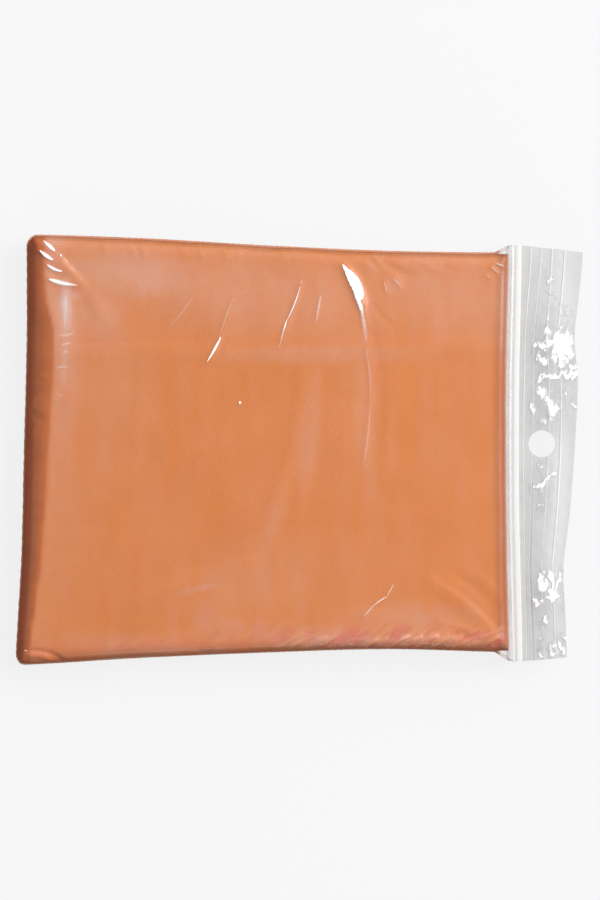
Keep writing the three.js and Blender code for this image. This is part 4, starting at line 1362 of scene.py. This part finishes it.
    def crimp_share(self, grid: Array) -> Array:
        """How strongly the top is crimped: along the lower weld, more towards the zip."""
        x, y = grid[..., 0], grid[..., 1]
        share = (x - self.form.left[0]) / self.form.length
        above_weld = y - knot_curve(self.form.shares, self.form.lower)(share)
        band = np.exp(-(((above_weld - 2.8) / 2.6) ** 2))
        return band * (0.25 + 0.75 * smoothstep(-16.0, 8.0, x)) * (grid[..., 2] > self.form.seam)

    def hidden_turns(self) -> None:
        """The hidden turns as one rounded solid that is layered at its edges.

        Rings follow the packet's rims from bottom to top. Between layers they are pinched by
        the fourth power of a cosine, and the layers differ in thickness, reach and waviness.
        """
        form = self.form
        rings_each, around_long, around_short = 6, 130, 110
        inside = self.skin + self.wall + self.play
        low, high = inside, form.height - inside
        rng = np.random.default_rng(self.seed)
        bounds = np.concatenate([[0.0], np.cumsum(rng.uniform(0.6, 1.4, self.layers))])
        bounds = low + (high - low) * bounds / bounds[-1]
        count = self.layers * rings_each
        index = np.arange(count + 1)
        layer = np.minimum(index // rings_each, self.layers - 1)
        share = (index - layer * rings_each) / rings_each
        height = blend(bounds[layer], bounds[layer + 1], share)
        groove = np.cos(np.pi * share) ** 4
        from_seam = np.abs(height - form.seam)
        reach = rng.uniform(0.0, 0.6, self.layers)[layer] * smoothstep(0.5, 4.0, from_seam)
        above = height >= form.seam
        crown = np.where(above, high - form.seam, form.seam - low)
        ring = 1.0 - np.sqrt(1.0 - np.minimum(from_seam / crown, 1.0) ** 2)
        rings = np.zeros((count + 1, 2 * (around_long + around_short), 3))
        rows = np.arange(rings.shape[1])
        covered = (height < low + 1.0) | (height > high - 1.0)
        for k in range(count + 1):
            rims = form.over if above[k] else form.under
            along, across = self.perimeter(ring[k], rims, around_long, around_short)
            wave = lattice_noise(rows / 9.0, np.full(len(rows), layer[k] * 1.7), self.seed + 1)
            depth = self.skin + 0.05 + self.groove_depth * groove[k] + reach[k]
            depth = depth + self.layer_wave * (1.0 + wave) * (1.0 - groove[k])
            depth = depth + (inside - self.skin) * covered[k]
            edge = np.minimum(across / rims.lower, (form.width - across) / rims.upper)
            under_turn = smoothstep(self.turn_edge - 0.05, self.turn_edge + 0.05, edge)
            under_turn = under_turn * (along < form.length / 2)
            depth = np.maximum(depth, inside * under_turn)
            rings[k] = form.point(along, across, depth, bool(above[k]), False)
            rings[k, :, 2] = height[k]
        piece = ring_solid("poncho_hidden_turns", rings, Facing.OUT)
        # Painted shade in the grooves between layers, deep red and brown.
        shade = np.concatenate([np.repeat(groove, rings.shape[1]), [0.0, 0.0]])
        add_values(piece, "painted_red_shade", 0.27 * shade)
        add_values(piece, "rim_shade", 0.225 * shade)
        dress(piece, self.finish, "inner_layers")

    def perimeter(self, ring: float, rims: Rims, long: int, short: int) -> tuple[Array, Array]:
        """Nominal places of one ring round the packet, at a share of its rims.

        Places are crowded towards the corners by a half cosine.

        Args:
            ring: Share of the rims.
            rims: The rims above or below the seam.
            long: Places along each long side.
            short: Places along each short side.

        Returns:
            Distances along and across.
        """
        form = self.form

        def run(first: float, last: float, count: int) -> Array:
            """Places from first to last, crowded towards both."""
            share = np.arange(count) / count
            return blend(first, last, blend(share, (1 - np.cos(np.pi * share)) / 2, 0.7))

        left, right = ring * rims.left, form.length - ring * rims.right
        low, high = ring * rims.lower, form.width - ring * rims.upper
        ends = np.full(short, right), np.full(short, left)
        sides = np.full(long, low), np.full(long, high)
        along = np.concatenate([run(left, right, long), ends[0], run(right, left, long), ends[1]])
        across = np.concatenate([sides[0], run(low, high, short), sides[1], run(high, low, short)])
        return along, across

    def build(self) -> None:
        """Builds both pieces."""
        self.outer_turn()
        self.hidden_turns()


@dataclass
class PouchBody:
    """The pouch's front and back films, its folded end and its side welds."""

    form: PacketForm
    relief: GarmentRelief
    finish: bpy.types.Material
    weld_finish: bpy.types.Material
    wall: float = 0.1
    seam_gap: float = 0.1
    web_start: float = 1.5
    web_start_under: float = 1.25
    web_reach: float = 1.0
    web_seat: float = 0.06
    web_haze_most: float = 2.5
    weld_inside: float = 0.9
    weld_half_height: float = 0.22
    band_at: Knots = (-48.0, -30.0, -5.0, 20.0, 48.0)
    band_haze: Knots = (0.08, 0.12, 0.22, 0.42, 0.46)
    seed: int = 41

    def rim_start(self, height: float, crown: float) -> float:
        """Share of a rim at which its quarter circle has risen to a height."""
        return 1.0 - math.sqrt(1.0 - (height / crown) ** 2)

    def web(self, grid: Array, z_end: float) -> Array:
        """Adds columns that carry a film's zip end over onto the zip strip.

        The film leaves its rim downwards and turns to lie along the strip on a quarter sine.

        Args:
            grid: The film's points, whose last column is at the rim's foot.
            z_end: Height of the strip's face.

        Returns:
            The longer grid.
        """
        share = np.linspace(0.0, 1.0, 9)[1:]
        foot = grid[:, -1:, :]
        x = foot[..., 0] + self.web_reach * (1 - np.cos(share * np.pi / 2)) ** 0.9
        z = blend(foot[..., 2], z_end, np.sin(share * np.pi / 2))
        y = np.repeat(foot[..., 1], len(share), axis=1)
        return np.concatenate([grid, np.stack([x, y, z], axis=-1)], axis=1)

    def front_film(self) -> None:
        """The film over the packet: its form, the garment's relief, ripples and each crease."""
        form = self.form
        crown = form.height - form.seam
        start, foot = self.rim_start(self.seam_gap, crown), self.rim_start(self.web_start, crown)
        lengths = form.lengthwise(form.over, (start, foot), 22, 190)
        widths = form.crosswise(form.over, (start, start), 22, 160)
        grid = form.point(lengths[None, :], widths[:, None], 0.0, True, True)
        level = smoothstep(form.seam + 1.5, form.height - 0.6, grid[..., 2])
        normals = grid_normals(grid)
        x, y = grid[..., 0], grid[..., 1]
        ripple = 0.02 * layered_noise(x / 9.0, y / 14.0, self.seed + 2) * level
        rim_ripple = 0.06 * (1.0 + lattice_noise(x / 3.0, y / 4.2, self.seed + 3)) * (1 - level)
        rim_ripple *= smoothstep(0.0, 1.6, grid[..., 2] - form.seam)
        grid = self.relief.lift(grid, level) + normals * (ripple + rim_ripple)[..., None]
        grid = self.web(grid, form.seam + form.zip_half + self.web_seat)
        piece = grid_object("pouch_front_film_clear", grid, Facing.OUT)
        x, y = grid[..., 0], grid[..., 1]
        seen = smoothstep(form.seam + 2.0, form.height - 1.5, grid[..., 2])
        haze = self.front_haze_and_sheen(x, y) * (0.15 + 0.85 * seen)
        add_values(piece, "haze", np.maximum(haze, self.web_haze(grid)))
        for name, values in stroke_field(FILM_STROKES + self.crimp_strokes(), x, y).items():
            add_values(piece, name, values)
        thicken(piece, self.wall)
        dress(piece, self.finish, "pouch_front_film")

    def front_haze_and_sheen(self, x: Array, y: Array) -> Array:
        """Haze of the front film, partly painted sheen: oval patches, a band inside the folded end
        and faint streaks.
        """
        haze = patch_field(HAZE_AND_SHEEN_PATCHES, x, y, 0.9)
        inside = x - self.form.rim_line(y)
        strength = knot_curve(self.band_at, self.band_haze)(y)
        band = smoothstep(-0.1, 0.5, inside) * smoothstep(11.0, 1.0, inside) * strength
        streaks = 0.06 * layered_noise(x / 2.6, y / 15.0, self.seed + 5)
        on_top = smoothstep(-0.6, 0.2, inside)
        return np.clip(np.maximum(haze, band) + 0.05 + streaks, 0.0, 2.0) * (0.06 + 0.94 * on_top)

    def crimp_strokes(self) -> tuple[Stroke, ...]:
        """A painted highlight: a pale line on the upper flank of each crimp of the lower weld."""
        made = []
        for crimp in self.relief.lower_crimps():
            start = (crimp.start[0] - 0.2, crimp.start[1] + 0.4)
            end = (crimp.end[0] - 0.3, crimp.end[1] + 0.3)
            made.append(Stroke(start, end, bow=0.2, half=0.24, shine=0.06, soft=1.0))
        return tuple(made)

    def web_haze(self, grid: Array) -> Array:
        """More haze on the stretch of film that lies on the zip strip, and painted light over the
        shaded gap short of it.
        """
        strip_edge = self.form.zip_at(grid[..., 1]) - self.form.zip_half - self.form.seat
        return self.web_haze_most * smoothstep(-1.1, -0.2, grid[..., 0] - strip_edge)

    def back_film(self) -> None:
        """The film under the packet. It is flat where it rests and puckers only inwards."""
        form = self.form
        start = self.rim_start(self.seam_gap, form.seam)
        foot = self.rim_start(self.web_start_under, form.seam)
        lengths = form.lengthwise(form.under, (start, foot), 14, 100)
        widths = form.crosswise(form.under, (start, start), 14, 84)
        grid = form.point(lengths[None, :], widths[:, None], 0.0, False, True)
        x, y = grid[..., 0], grid[..., 1]
        dimple = np.maximum(0.0, crumple_noise(x / 17.0, y / 12.0, self.seed + 8, 2) - 0.5)
        grid[..., 2] += 0.35 * dimple * smoothstep(form.seam, 0.0, grid[..., 2])
        grid = self.web(grid, form.seam - form.zip_half - self.web_seat)
        piece = grid_object("pouch_back_film_clear", grid, Facing.TURNED)
        x, y = grid[..., 0], grid[..., 1]
        haze = 0.25 + 0.3 * layered_noise(x / 9.0, y / 8.0, self.seed + 9)
        add_values(piece, "haze", np.maximum(np.clip(haze, 0.0, 1.0), self.web_haze(grid)))
        add_values(piece, "stroke_reach", np.full(x.shape, -1.0))
        thicken(piece, self.wall)
        dress(piece, self.finish, "pouch_back_film")

    def bead(
        self, name: str, node: str, along: Array, across: Array, proud: float, crimp: float
    ) -> None:
        """A bead of joined film along the seam line.

        Its section is an ellipse about the skin's edge, and it is crimped by a fine sine.

        Args:
            name: Name of the piece.
            node: The CAD node that it stands for.
            along: Nominal places of its run, along the packet.
            across: The same, across it.
            proud: How far it stands out of the skin.
            crimp: Height of the crimps.
        """
        form = self.form
        sides = 12
        run = np.arange(len(along))
        uneven = lattice_noise(run / 3.0, run * 0.0, self.seed)
        ripple = 1.0 + crimp * (np.sin(run * 1.9) + 0.5 * uneven)
        angle = np.linspace(0, 2 * np.pi, sides, endpoint=False)
        middle, half = (self.weld_inside - proud) / 2, (self.weld_inside + proud) / 2
        depth = middle - np.cos(angle)[None, :] * half * ripple[:, None]
        rings = form.point(along[:, None], across[:, None], depth, True, True)
        rings[..., 2] = form.seam + self.weld_half_height * np.sin(angle)[None, :]
        piece = ring_solid(name, rings, Facing.TURNED)
        # The painted tint of the shaded garment covers the bead but for its end by the zip.
        beside = smoothstep(form.length - 1.6, form.length - 3.6, along)
        tinted = np.repeat(beside, sides)
        add_values(piece, "haze", np.concatenate([tinted, tinted[[0, -1]]]))
        add_values(piece, "stroke_reach", np.full(len(piece.data.vertices), -1.0))
        dress(piece, self.weld_finish, node)

    def build(self) -> None:
        """Builds the films, the folded end and both welds."""
        form = self.form
        self.front_film()
        self.back_film()
        long_run = form.lengthwise(form.over, (0.01, 0.01), 14, 240)
        short_run = form.crosswise(form.over, (0.01, 0.01), 14, 120)
        edge = np.zeros(len(long_run))
        self.bead("pouch_weld_lower", "side_weld_lower", long_run, edge, 0.1, 0.05)
        self.bead("pouch_weld_upper", "side_weld_upper", long_run, edge + form.width, 0.1, 0.05)
        edge = np.zeros(len(short_run))
        self.bead("pouch_bottom_fold", "bottom_fold", edge, short_run, 0.08, 0.1)


@dataclass
class ZipClosure:
    """The press-to-close zip, closed: a groove on the front film and a tongue on the back one."""

    form: PacketForm
    finish: bpy.types.Material
    lower: float = -47.9
    upper: float = 46.2
    film: float = 0.4
    jaw: float = 0.4
    hook: float = 0.15
    rail: float = 0.08
    rounding: float = 0.12
    stem: float = 0.26
    head: float = 0.42
    wander: float = 0.07
    seed: int = 71
    stations: int = 150

    def sweep(self, name: str, node: str, section: Array, rail: Array) -> None:
        """Carries a section along the zip line.

        Args:
            name: Name of the piece.
            node: The CAD node that it stands for.
            section: Distances from the zip's middle and heights over the seam line.
            rail: For each point of the section, 1 where the plastic is thick.
        """
        y = np.linspace(self.lower, self.upper, self.stations)
        x = self.form.zip_at(y) + self.wander * lattice_noise(y / 9.0, y * 0.0, self.seed)
        rings = np.zeros((len(y), len(section), 3))
        rings[..., 0] = x[:, None] + section[None, :, 0]
        rings[..., 1] = y[:, None]
        rings[..., 2] = self.form.seam + section[None, :, 1]
        piece = self.capped(name, rings)
        add_values(piece, "rail", np.tile(rail, len(y)))
        dress(piece, self.finish, node)

    def capped(self, name: str, rings: Array) -> Piece:
        """Walls through rings, with one face at each end, whose outline is the section."""
        count, around = rings.shape[:2]
        walls = grid_faces(count, around, Facing.TURNED, closed=True)
        points = (rings.reshape(-1, 3) * MM).tolist()
        first = list(range(around))
        last = [(count - 1) * around + i for i in reversed(range(around))]
        mesh = bpy.data.meshes.new(name)
        mesh.from_pydata(points, [], walls.tolist() + [first, last])
        mesh.update()
        made = bpy.data.objects.new(name, mesh)
        bpy.context.scene.collection.objects.link(made)
        return made

    def groove(self) -> None:
        """The groove: it opens downwards between two hooked jaws and has rails on its back."""
        half, seat = self.form.zip_half, self.form.seat
        tip, roof = -half + self.film + seat, half - self.film
        inside = half - self.jaw
        right = [
            (inside, roof),
            (inside, tip + 2 * seat),
            (inside - self.hook, tip + seat),
            (inside - self.hook, tip),
            (half, tip),
        ]
        left = [(-x, z) for x, z in reversed(right)]
        x = np.linspace(half, -half, 33)
        wide = np.exp(-(((x - 0.6) / 0.6) ** 4))
        narrow = np.exp(-(((x + 0.95) / 0.25) ** 2))
        rounded = self.rounding - np.minimum(self.rounding, half - np.abs(x))
        outer = np.stack([x, half - rounded + self.rail * (wide + 0.7 * narrow)], axis=1)
        section = np.vstack([left + right, outer])
        back = np.clip(0.35 + wide + 0.8 * narrow, 0.0, 1.0)
        rail = np.concatenate([np.full(len(left + right), 0.6), back])
        self.sweep("zip_groove_strip", "zip_groove", section, rail)

    def tongue(self) -> None:
        """The tongue: an arrow head that stands on its strip inside the groove."""
        half, floor = self.form.zip_half, -self.form.zip_half + self.film
        right = [
            (half, -half),
            (half, floor),
            (self.stem, floor),
            (self.stem, 0.05),
            (self.head, 0.1),
            (self.stem / 2, half - self.film - self.form.seat),
        ]
        left = [(-x, z) for x, z in reversed(right)]
        section = np.array(left[-1:] + right + left[:-1])
        self.sweep("zip_tongue_strip", "zip_tongue", section, np.full(len(section), 0.8))

    def build(self) -> None:
        """Builds both halves."""
        self.groove()
        self.tongue()


@dataclass
class LipSheets:
    """The two lips outside the zip, with grip ribs, the hang hole and their crumples."""

    form: PacketForm
    finish: bpy.types.Material
    lower: float = -47.9
    upper: float = 46.2
    width: float = 14.0
    gap: float = 0.3
    wall: float = 0.1
    taper_lower: float = 0.9
    taper_upper: float = 1.5
    ribs: tuple[Knots, ...] = (
        (1.2, 1.3, 0.9, 1.2, 2.0),
        (3.1, 2.9, 3.2, 3.5, 4.3),
        (6.9, 6.8, 7.2, 6.9, 6.8),
        (10.2, 10.2, 10.3, 9.7, 9.8),
    )
    rib_half: float = 0.25
    rib_height: float = 0.03
    hump: float = 0.42
    rib_shine: Knots = (0.55, 0.5, 0.5, 0.47)
    hole: Spot = (55.0, 1.3)
    hole_radius: float = 3.05
    hole_room: float = 0.7
    hole_rings: int = 6
    shares: Knots = (0.0, 0.1, 0.22, 0.36, 0.53, 0.68, 0.79, 0.9, 1.0)
    reach: Knots = (9.8, 9.6, 9.5, 11.2, 12.5, 13.0, 12.1, 13.0, 13.7)
    crest: Knots = (2.0, 2.9, 3.4, 2.8, 1.8, 1.4, 2.3, 1.2, 0.5)
    brim: Knots = (0.8, 1.4, 1.0, 0.4, -0.4, 0.3, 1.0, -0.6, -1.2)
    broad_crumple: float = 0.08
    fine_crumple: float = 0.03
    glint_crumple: float = 0.35
    under_share: float = 0.6
    under_glint: float = 0.4
    seed: int = 57

    def middle(self, distance: Array, share: Array) -> Array:
        """Points of the lip's middle surface.

        It leaves the zip level, humps as the square of a sine and ends at the brim's height.

        Args:
            distance: Distance along the flat film from the zip's side.
            share: Share of the zip's length, from its lower end.

        Returns:
            The points.
        """
        out = distance / self.width
        y = blend(self.lower, self.upper, share)
        x = self.form.zip_at(y) + self.form.zip_half + self.form.seat
        x = x + knot_curve(self.shares, self.reach)(share) * out
        y = y + out * blend(self.taper_lower, -self.taper_upper, share)
        rise = self.hump * knot_curve(self.shares, self.crest)(share) * np.sin(np.pi * out) ** 2
        rise = rise + knot_curve(self.shares, self.brim)(share) * smoothstep(0.0, 1.0, out)
        return np.stack([x, y, self.form.seam + rise], axis=-1)

    def flat_mesh(self) -> tuple[Array, Array]:
        """The flat lip with the hang hole left out, as distances and shares with their quads.

        A square of cells round the hole is left out of an even grid. A ring of quads fills it:
        its outer points are the square's own and its inner ones lie on the hole's circle.

        Returns:
            An array with a distance and a share for each point, and the quads.
        """
        distance = np.concatenate([[-0.4], np.linspace(0.0, self.width, 85)])
        share = np.linspace(0.0, 1.0, 321)
        flat = np.stack(np.meshgrid(distance, share), axis=-1)
        place = self.middle(flat[..., 0], flat[..., 1])
        away = np.abs(place[..., :2] - np.array(self.hole)).max(axis=-1)
        rows, columns = np.where(away < self.hole_radius + self.hole_room)
        r0, r1, c0, c1 = rows.min(), rows.max(), columns.min(), columns.max()
        faces = grid_faces(len(share), len(distance), Facing.OUT)
        row, column = faces[:, 0] // len(distance), faces[:, 0] % len(distance)
        cut = (row >= r0) & (row < r1) & (column >= c0) & (column < c1)
        index = np.arange(place[..., 0].size).reshape(place.shape[:2])
        square = np.concatenate(
            [index[r0, c0:c1], index[r0:r1, c1], index[r1, c1:c0:-1], index[r1:r0:-1, c0]]
        )
        edge = flat.reshape(-1, 2)[square]
        spot = place.reshape(-1, 3)[square, :2] - np.array(self.hole)
        angle = np.arctan2(spot[:, 1], spot[:, 0])
        circle = self.hole_radius * np.stack([np.cos(angle), np.sin(angle)], axis=1)
        rim = self.flat_of(np.array(self.hole) + circle, edge)
        share_in = np.linspace(0.0, 1.0, self.hole_rings + 1)[1:, None, None]
        rings = blend(edge[None], rim[None], share_in)
        added = index.size + np.arange(self.hole_rings * len(square))
        ring_index = np.vstack([square, added.reshape(self.hole_rings, -1)])
        a, b = ring_index[:-1], ring_index[1:]
        quads = np.stack([a, np.roll(a, -1, 1), np.roll(b, -1, 1), b], axis=-1).reshape(-1, 4)
        points = np.vstack([flat.reshape(-1, 2), rings.reshape(-1, 2)])
        faces = np.vstack([faces[~cut], quads])
        used = np.unique(faces)
        lookup = np.zeros(len(points), int)
        lookup[used] = np.arange(len(used))
        return points[used], lookup[faces]

    def flat_of(self, target: Array, guess: Array) -> Array:
        """Distances and shares of places given in plan, by a few Newton steps from a guess."""
        found = guess.copy()
        step = np.array([1e-3, 1e-5])
        for _ in range(8):
            here = self.middle(found[:, 0], found[:, 1])[:, :2]
            by_distance = (self.middle(found[:, 0] + step[0], found[:, 1])[:, :2] - here) / step[0]
            by_share = (self.middle(found[:, 0], found[:, 1] + step[1])[:, :2] - here) / step[1]
            jacobian = np.stack([by_distance, by_share], axis=-1)
            found = found + np.linalg.solve(jacobian, (target - here)[..., None])[..., 0]
        return found

    def sheet(self, name: str, node: str, front: bool, flat: Array, faces: Array) -> None:
        """One lip film.

        Off the middle surface it stands by the gap, its ribs, and crumples that are strongest
        where the lip carries painted glints.

        Args:
            name: Name of the piece.
            node: The CAD node that it stands for.
            front: True for the front film and false for the back one.
            flat: Distances and shares.
            faces: The quads.
        """
        distance, share = flat[:, 0], flat[:, 1]
        middle = self.middle(distance, share)
        tiny = 1e-3
        by_distance = self.middle(distance + tiny, share) - middle
        by_share = self.middle(distance, share + tiny / 90) - middle
        normal = np.cross(by_distance, by_share)
        normal /= np.linalg.norm(normal, axis=1, keepdims=True)
        x, y = middle[:, 0], middle[:, 1]
        ragged_x = x + 0.55 * layered_noise(x / 1.3, y / 1.9, self.seed + 21)
        ragged_y = y + 0.95 * layered_noise(x / 1.1, y / 1.7, self.seed + 31)
        painted_glint = patch_field(LIP_PAINTED_GLINTS, ragged_x, ragged_y, 0.75)
        seed = self.seed if front else self.seed + 10
        fine = crumple_noise(x / 1.9 + 0.25 * y, y / 2.6 - 0.2 * x, seed)
        broad = crumple_noise(x / 5.5, y / 8.0 + 0.1 * x, seed + 4, 2)
        free = smoothstep(0.0, 2.5, distance)
        sharp = self.fine_crumple + self.glint_crumple * painted_glint
        crumple = free * (self.broad_crumple * broad + sharp * fine)
        away = distance[:, None] - self.rib_lines(share)
        rib = np.exp(-((away / self.rib_half) ** 2)).max(axis=1)
        apart = self.gap + rib * self.rib_height
        off = apart + 0.5 * crumple if front else 0.5 * self.under_share * crumple - apart
        points = middle + normal * off[:, None]
        piece = mesh_object(name, points, faces if front else faces[:, ::-1])
        # The lip's painted glints, fainter on its back film.
        add_values(piece, "painted_glint", painted_glint * free * (1.0 if front else self.under_glint))
        add_values(piece, "haze", np.clip(0.45 + 0.25 * broad + 0.1 * rib, 0.0, 1.0))
        for key, values in self.rib_strokes(away).items():
            add_values(piece, key, values)
        thicken(piece, self.wall)
        dress(piece, self.finish, node)

    def rib_lines(self, share: Array) -> Array:
        """Each rib's distance from the zip at shares of the zip's length, one column a rib."""
        lines = [knot_curve(self.form.shares, knots)(share) for knots in self.ribs]
        return np.stack(lines, axis=1)

    def rib_strokes(self, away: Array) -> dict[str, Array]:
        """The ribs as painted highlight strokes: the distance from the nearest rib, and the rib's
        half width.
        """
        nearest = np.abs(away).argmin(axis=1)
        off = np.take_along_axis(away, nearest[:, None], axis=1)[:, 0]
        return {
            "stroke_off": off,
            "stroke_reach": np.where(np.abs(off) < 0.6, self.rib_half, -1.0),
            "stroke_shine": np.array(self.rib_shine)[nearest],
            "stroke_soft": np.full(off.shape, 0.8),
        }

    def build(self) -> None:
        """Builds both films."""
        flat, faces = self.flat_mesh()
        self.sheet("lip_front_film_clear", "lip_front_film", True, flat, faces)
        self.sheet("lip_back_film_clear", "lip_back_film", False, flat, faces)


@dataclass(frozen=True)
class SoftBox:
    """A rectangular lamp, by its bearing, its angle from straight above, its size and its power."""

    name: str
    bearing: float
    from_zenith: float
    distance: float
    width: float
    depth: float
    power: float


@dataclass
class Studio:
    """A plain pale floor, soft studio light and a camera straight above the packet."""

    photo_height: int = 900
    mm_per_pixel: float = 0.2264
    camera_height: float = 900.0
    aim: Spot = (0.23, -0.11)
    focus_level: float = 5.2
    sensor: float = 36.0
    floor_grey: float = 0.09
    floor_glow: float = 0.83
    floor_half: float = 2500.0
    floor_level: float = -0.2
    sky: float = 0.39
    sky_colour: Colour = (0.96, 0.98, 1.0, 1.0)
    boxes: tuple[SoftBox, ...] = (
        SoftBox("key", 22.0, 44.0, 1100.0, 700.0, 700.0, 12.5),
        SoftBox("fill", 95.0, 55.0, 1200.0, 700.0, 400.0, 1.6),
        SoftBox("glint_upper_right", 45.0, 41.0, 1100.0, 300.0, 60.0, 0.5),
        SoftBox("glint_upper", 76.0, 40.0, 1100.0, 220.0, 60.0, 0.3),
        SoftBox("low_upper", 92.0, 80.0, 1200.0, 600.0, 200.0, 1.6),
        SoftBox("low_lower", 268.0, 80.0, 1200.0, 600.0, 200.0, 2.0),
        SoftBox("low_left", 184.0, 80.0, 1200.0, 600.0, 200.0, 1.2),
    )

    def floor(self) -> None:
        """The floor: part of its paleness is its own to the camera, so it stays even and bright."""
        corners = np.array([(-1, -1, 0), (1, -1, 0), (1, 1, 0), (-1, 1, 0)]) * self.floor_half
        corners = corners + np.array([0.0, 0.0, self.floor_level])
        made = mesh_object("studio_floor", corners, np.array([[0, 1, 2, 3]]))
        material, sheet = material_sheet("studio_floor_paper")
        grey = self.floor_grey
        paper = sheet.add("BsdfDiffuse", {"Color": (grey, grey, grey, 1.0)})
        seen = sheet.add("LightPath").outputs["Is Camera Ray"]
        glow = sheet.add("Emission", {"Strength": sheet.math("MULTIPLY", seen, self.floor_glow)})
        both = sheet.add("AddShader", {0: paper.outputs[0], 1: glow.outputs[0]})
        sheet.add("OutputMaterial", {0: both.outputs[0]})
        made.data.materials.append(material)

    def lamp(self, box: SoftBox) -> None:
        """Hangs one soft box so that it faces the packet."""
        data = bpy.data.lights.new(box.name, "AREA")
        data.shape = "RECTANGLE"
        data.size, data.size_y = box.width * MM, box.depth * MM
        data.energy = box.power
        made = bpy.data.objects.new(box.name, data)
        bearing, tilt = math.radians(box.bearing), math.radians(box.from_zenith)
        out = math.sin(tilt)
        way = Vector((math.cos(bearing) * out, math.sin(bearing) * out, math.cos(tilt)))
        made.location = way * box.distance * MM
        made.rotation_euler = way.to_track_quat("Z", "Y").to_euler()
        bpy.context.scene.collection.objects.link(made)

    def camera(self) -> None:
        """The camera, straight above, with the photograph's scale at the packet's seam line."""
        data = bpy.data.cameras.new("camera")
        data.sensor_width = self.sensor
        data.lens = self.sensor * self.camera_height / (self.photo_height * self.mm_per_pixel)
        data.clip_start, data.clip_end = 0.01, 20.0
        made = bpy.data.objects.new("camera", data)
        made.location = Vector((*self.aim, self.camera_height + self.focus_level)) * MM
        bpy.context.scene.collection.objects.link(made)
        bpy.context.scene.camera = made

    def world(self) -> None:
        """An even pale sky, and a plain view of colour."""
        world = bpy.data.worlds.new("studio")
        world.use_nodes = True
        sky = world.node_tree.nodes["Background"].inputs
        sky["Color"].default_value, sky["Strength"].default_value = self.sky_colour, self.sky
        bpy.context.scene.world = world
        bpy.context.scene.view_settings.view_transform = "Standard"
        bpy.context.scene.cycles.transparent_max_bounces = 16

    def build(self) -> None:
        """Sets up the whole studio."""
        self.floor()
        for box in self.boxes:
            self.lamp(box)
        self.camera()
        self.world()


def main() -> None:
    """Builds the studio, then the garment, then the pouch round it."""
    logging.basicConfig(level=logging.INFO, format="%(name)s %(message)s")
    form = PacketForm()
    relief = GarmentRelief(form)
    Studio().build()
    FoldedPoncho(form, relief, PonchoFinish().build()).build()
    body_film = ClearFilmFinish(FilmTone.BODY).build()
    # The welds' clear film is tinted orange brown and mostly covered: painted colour of the shaded
    # garment seen through it.
    weld_film = ClearFilmFinish(
        FilmTone.WELD, tint=(0.64, 0.23, 0.1, 1.0), cover=0.12, haze_cover=0.75, metal=0.0
    ).build()
    PouchBody(form, relief, body_film, weld_film).build()
    ZipClosure(form, MilkyZipFinish().build()).build()
    lip_film = ClearFilmFinish(
        FilmTone.LIP,
        tint=(0.43, 0.425, 0.42, 1.0),
        cover=0.095,
        haze_cover=0.1,
        metal=0.04,
        roughness=0.3,
        shine=0.3,
        bump=0.3,
    ).build()
    LipSheets(form, lip_film).build()


if __name__ == "__main__":
    main()
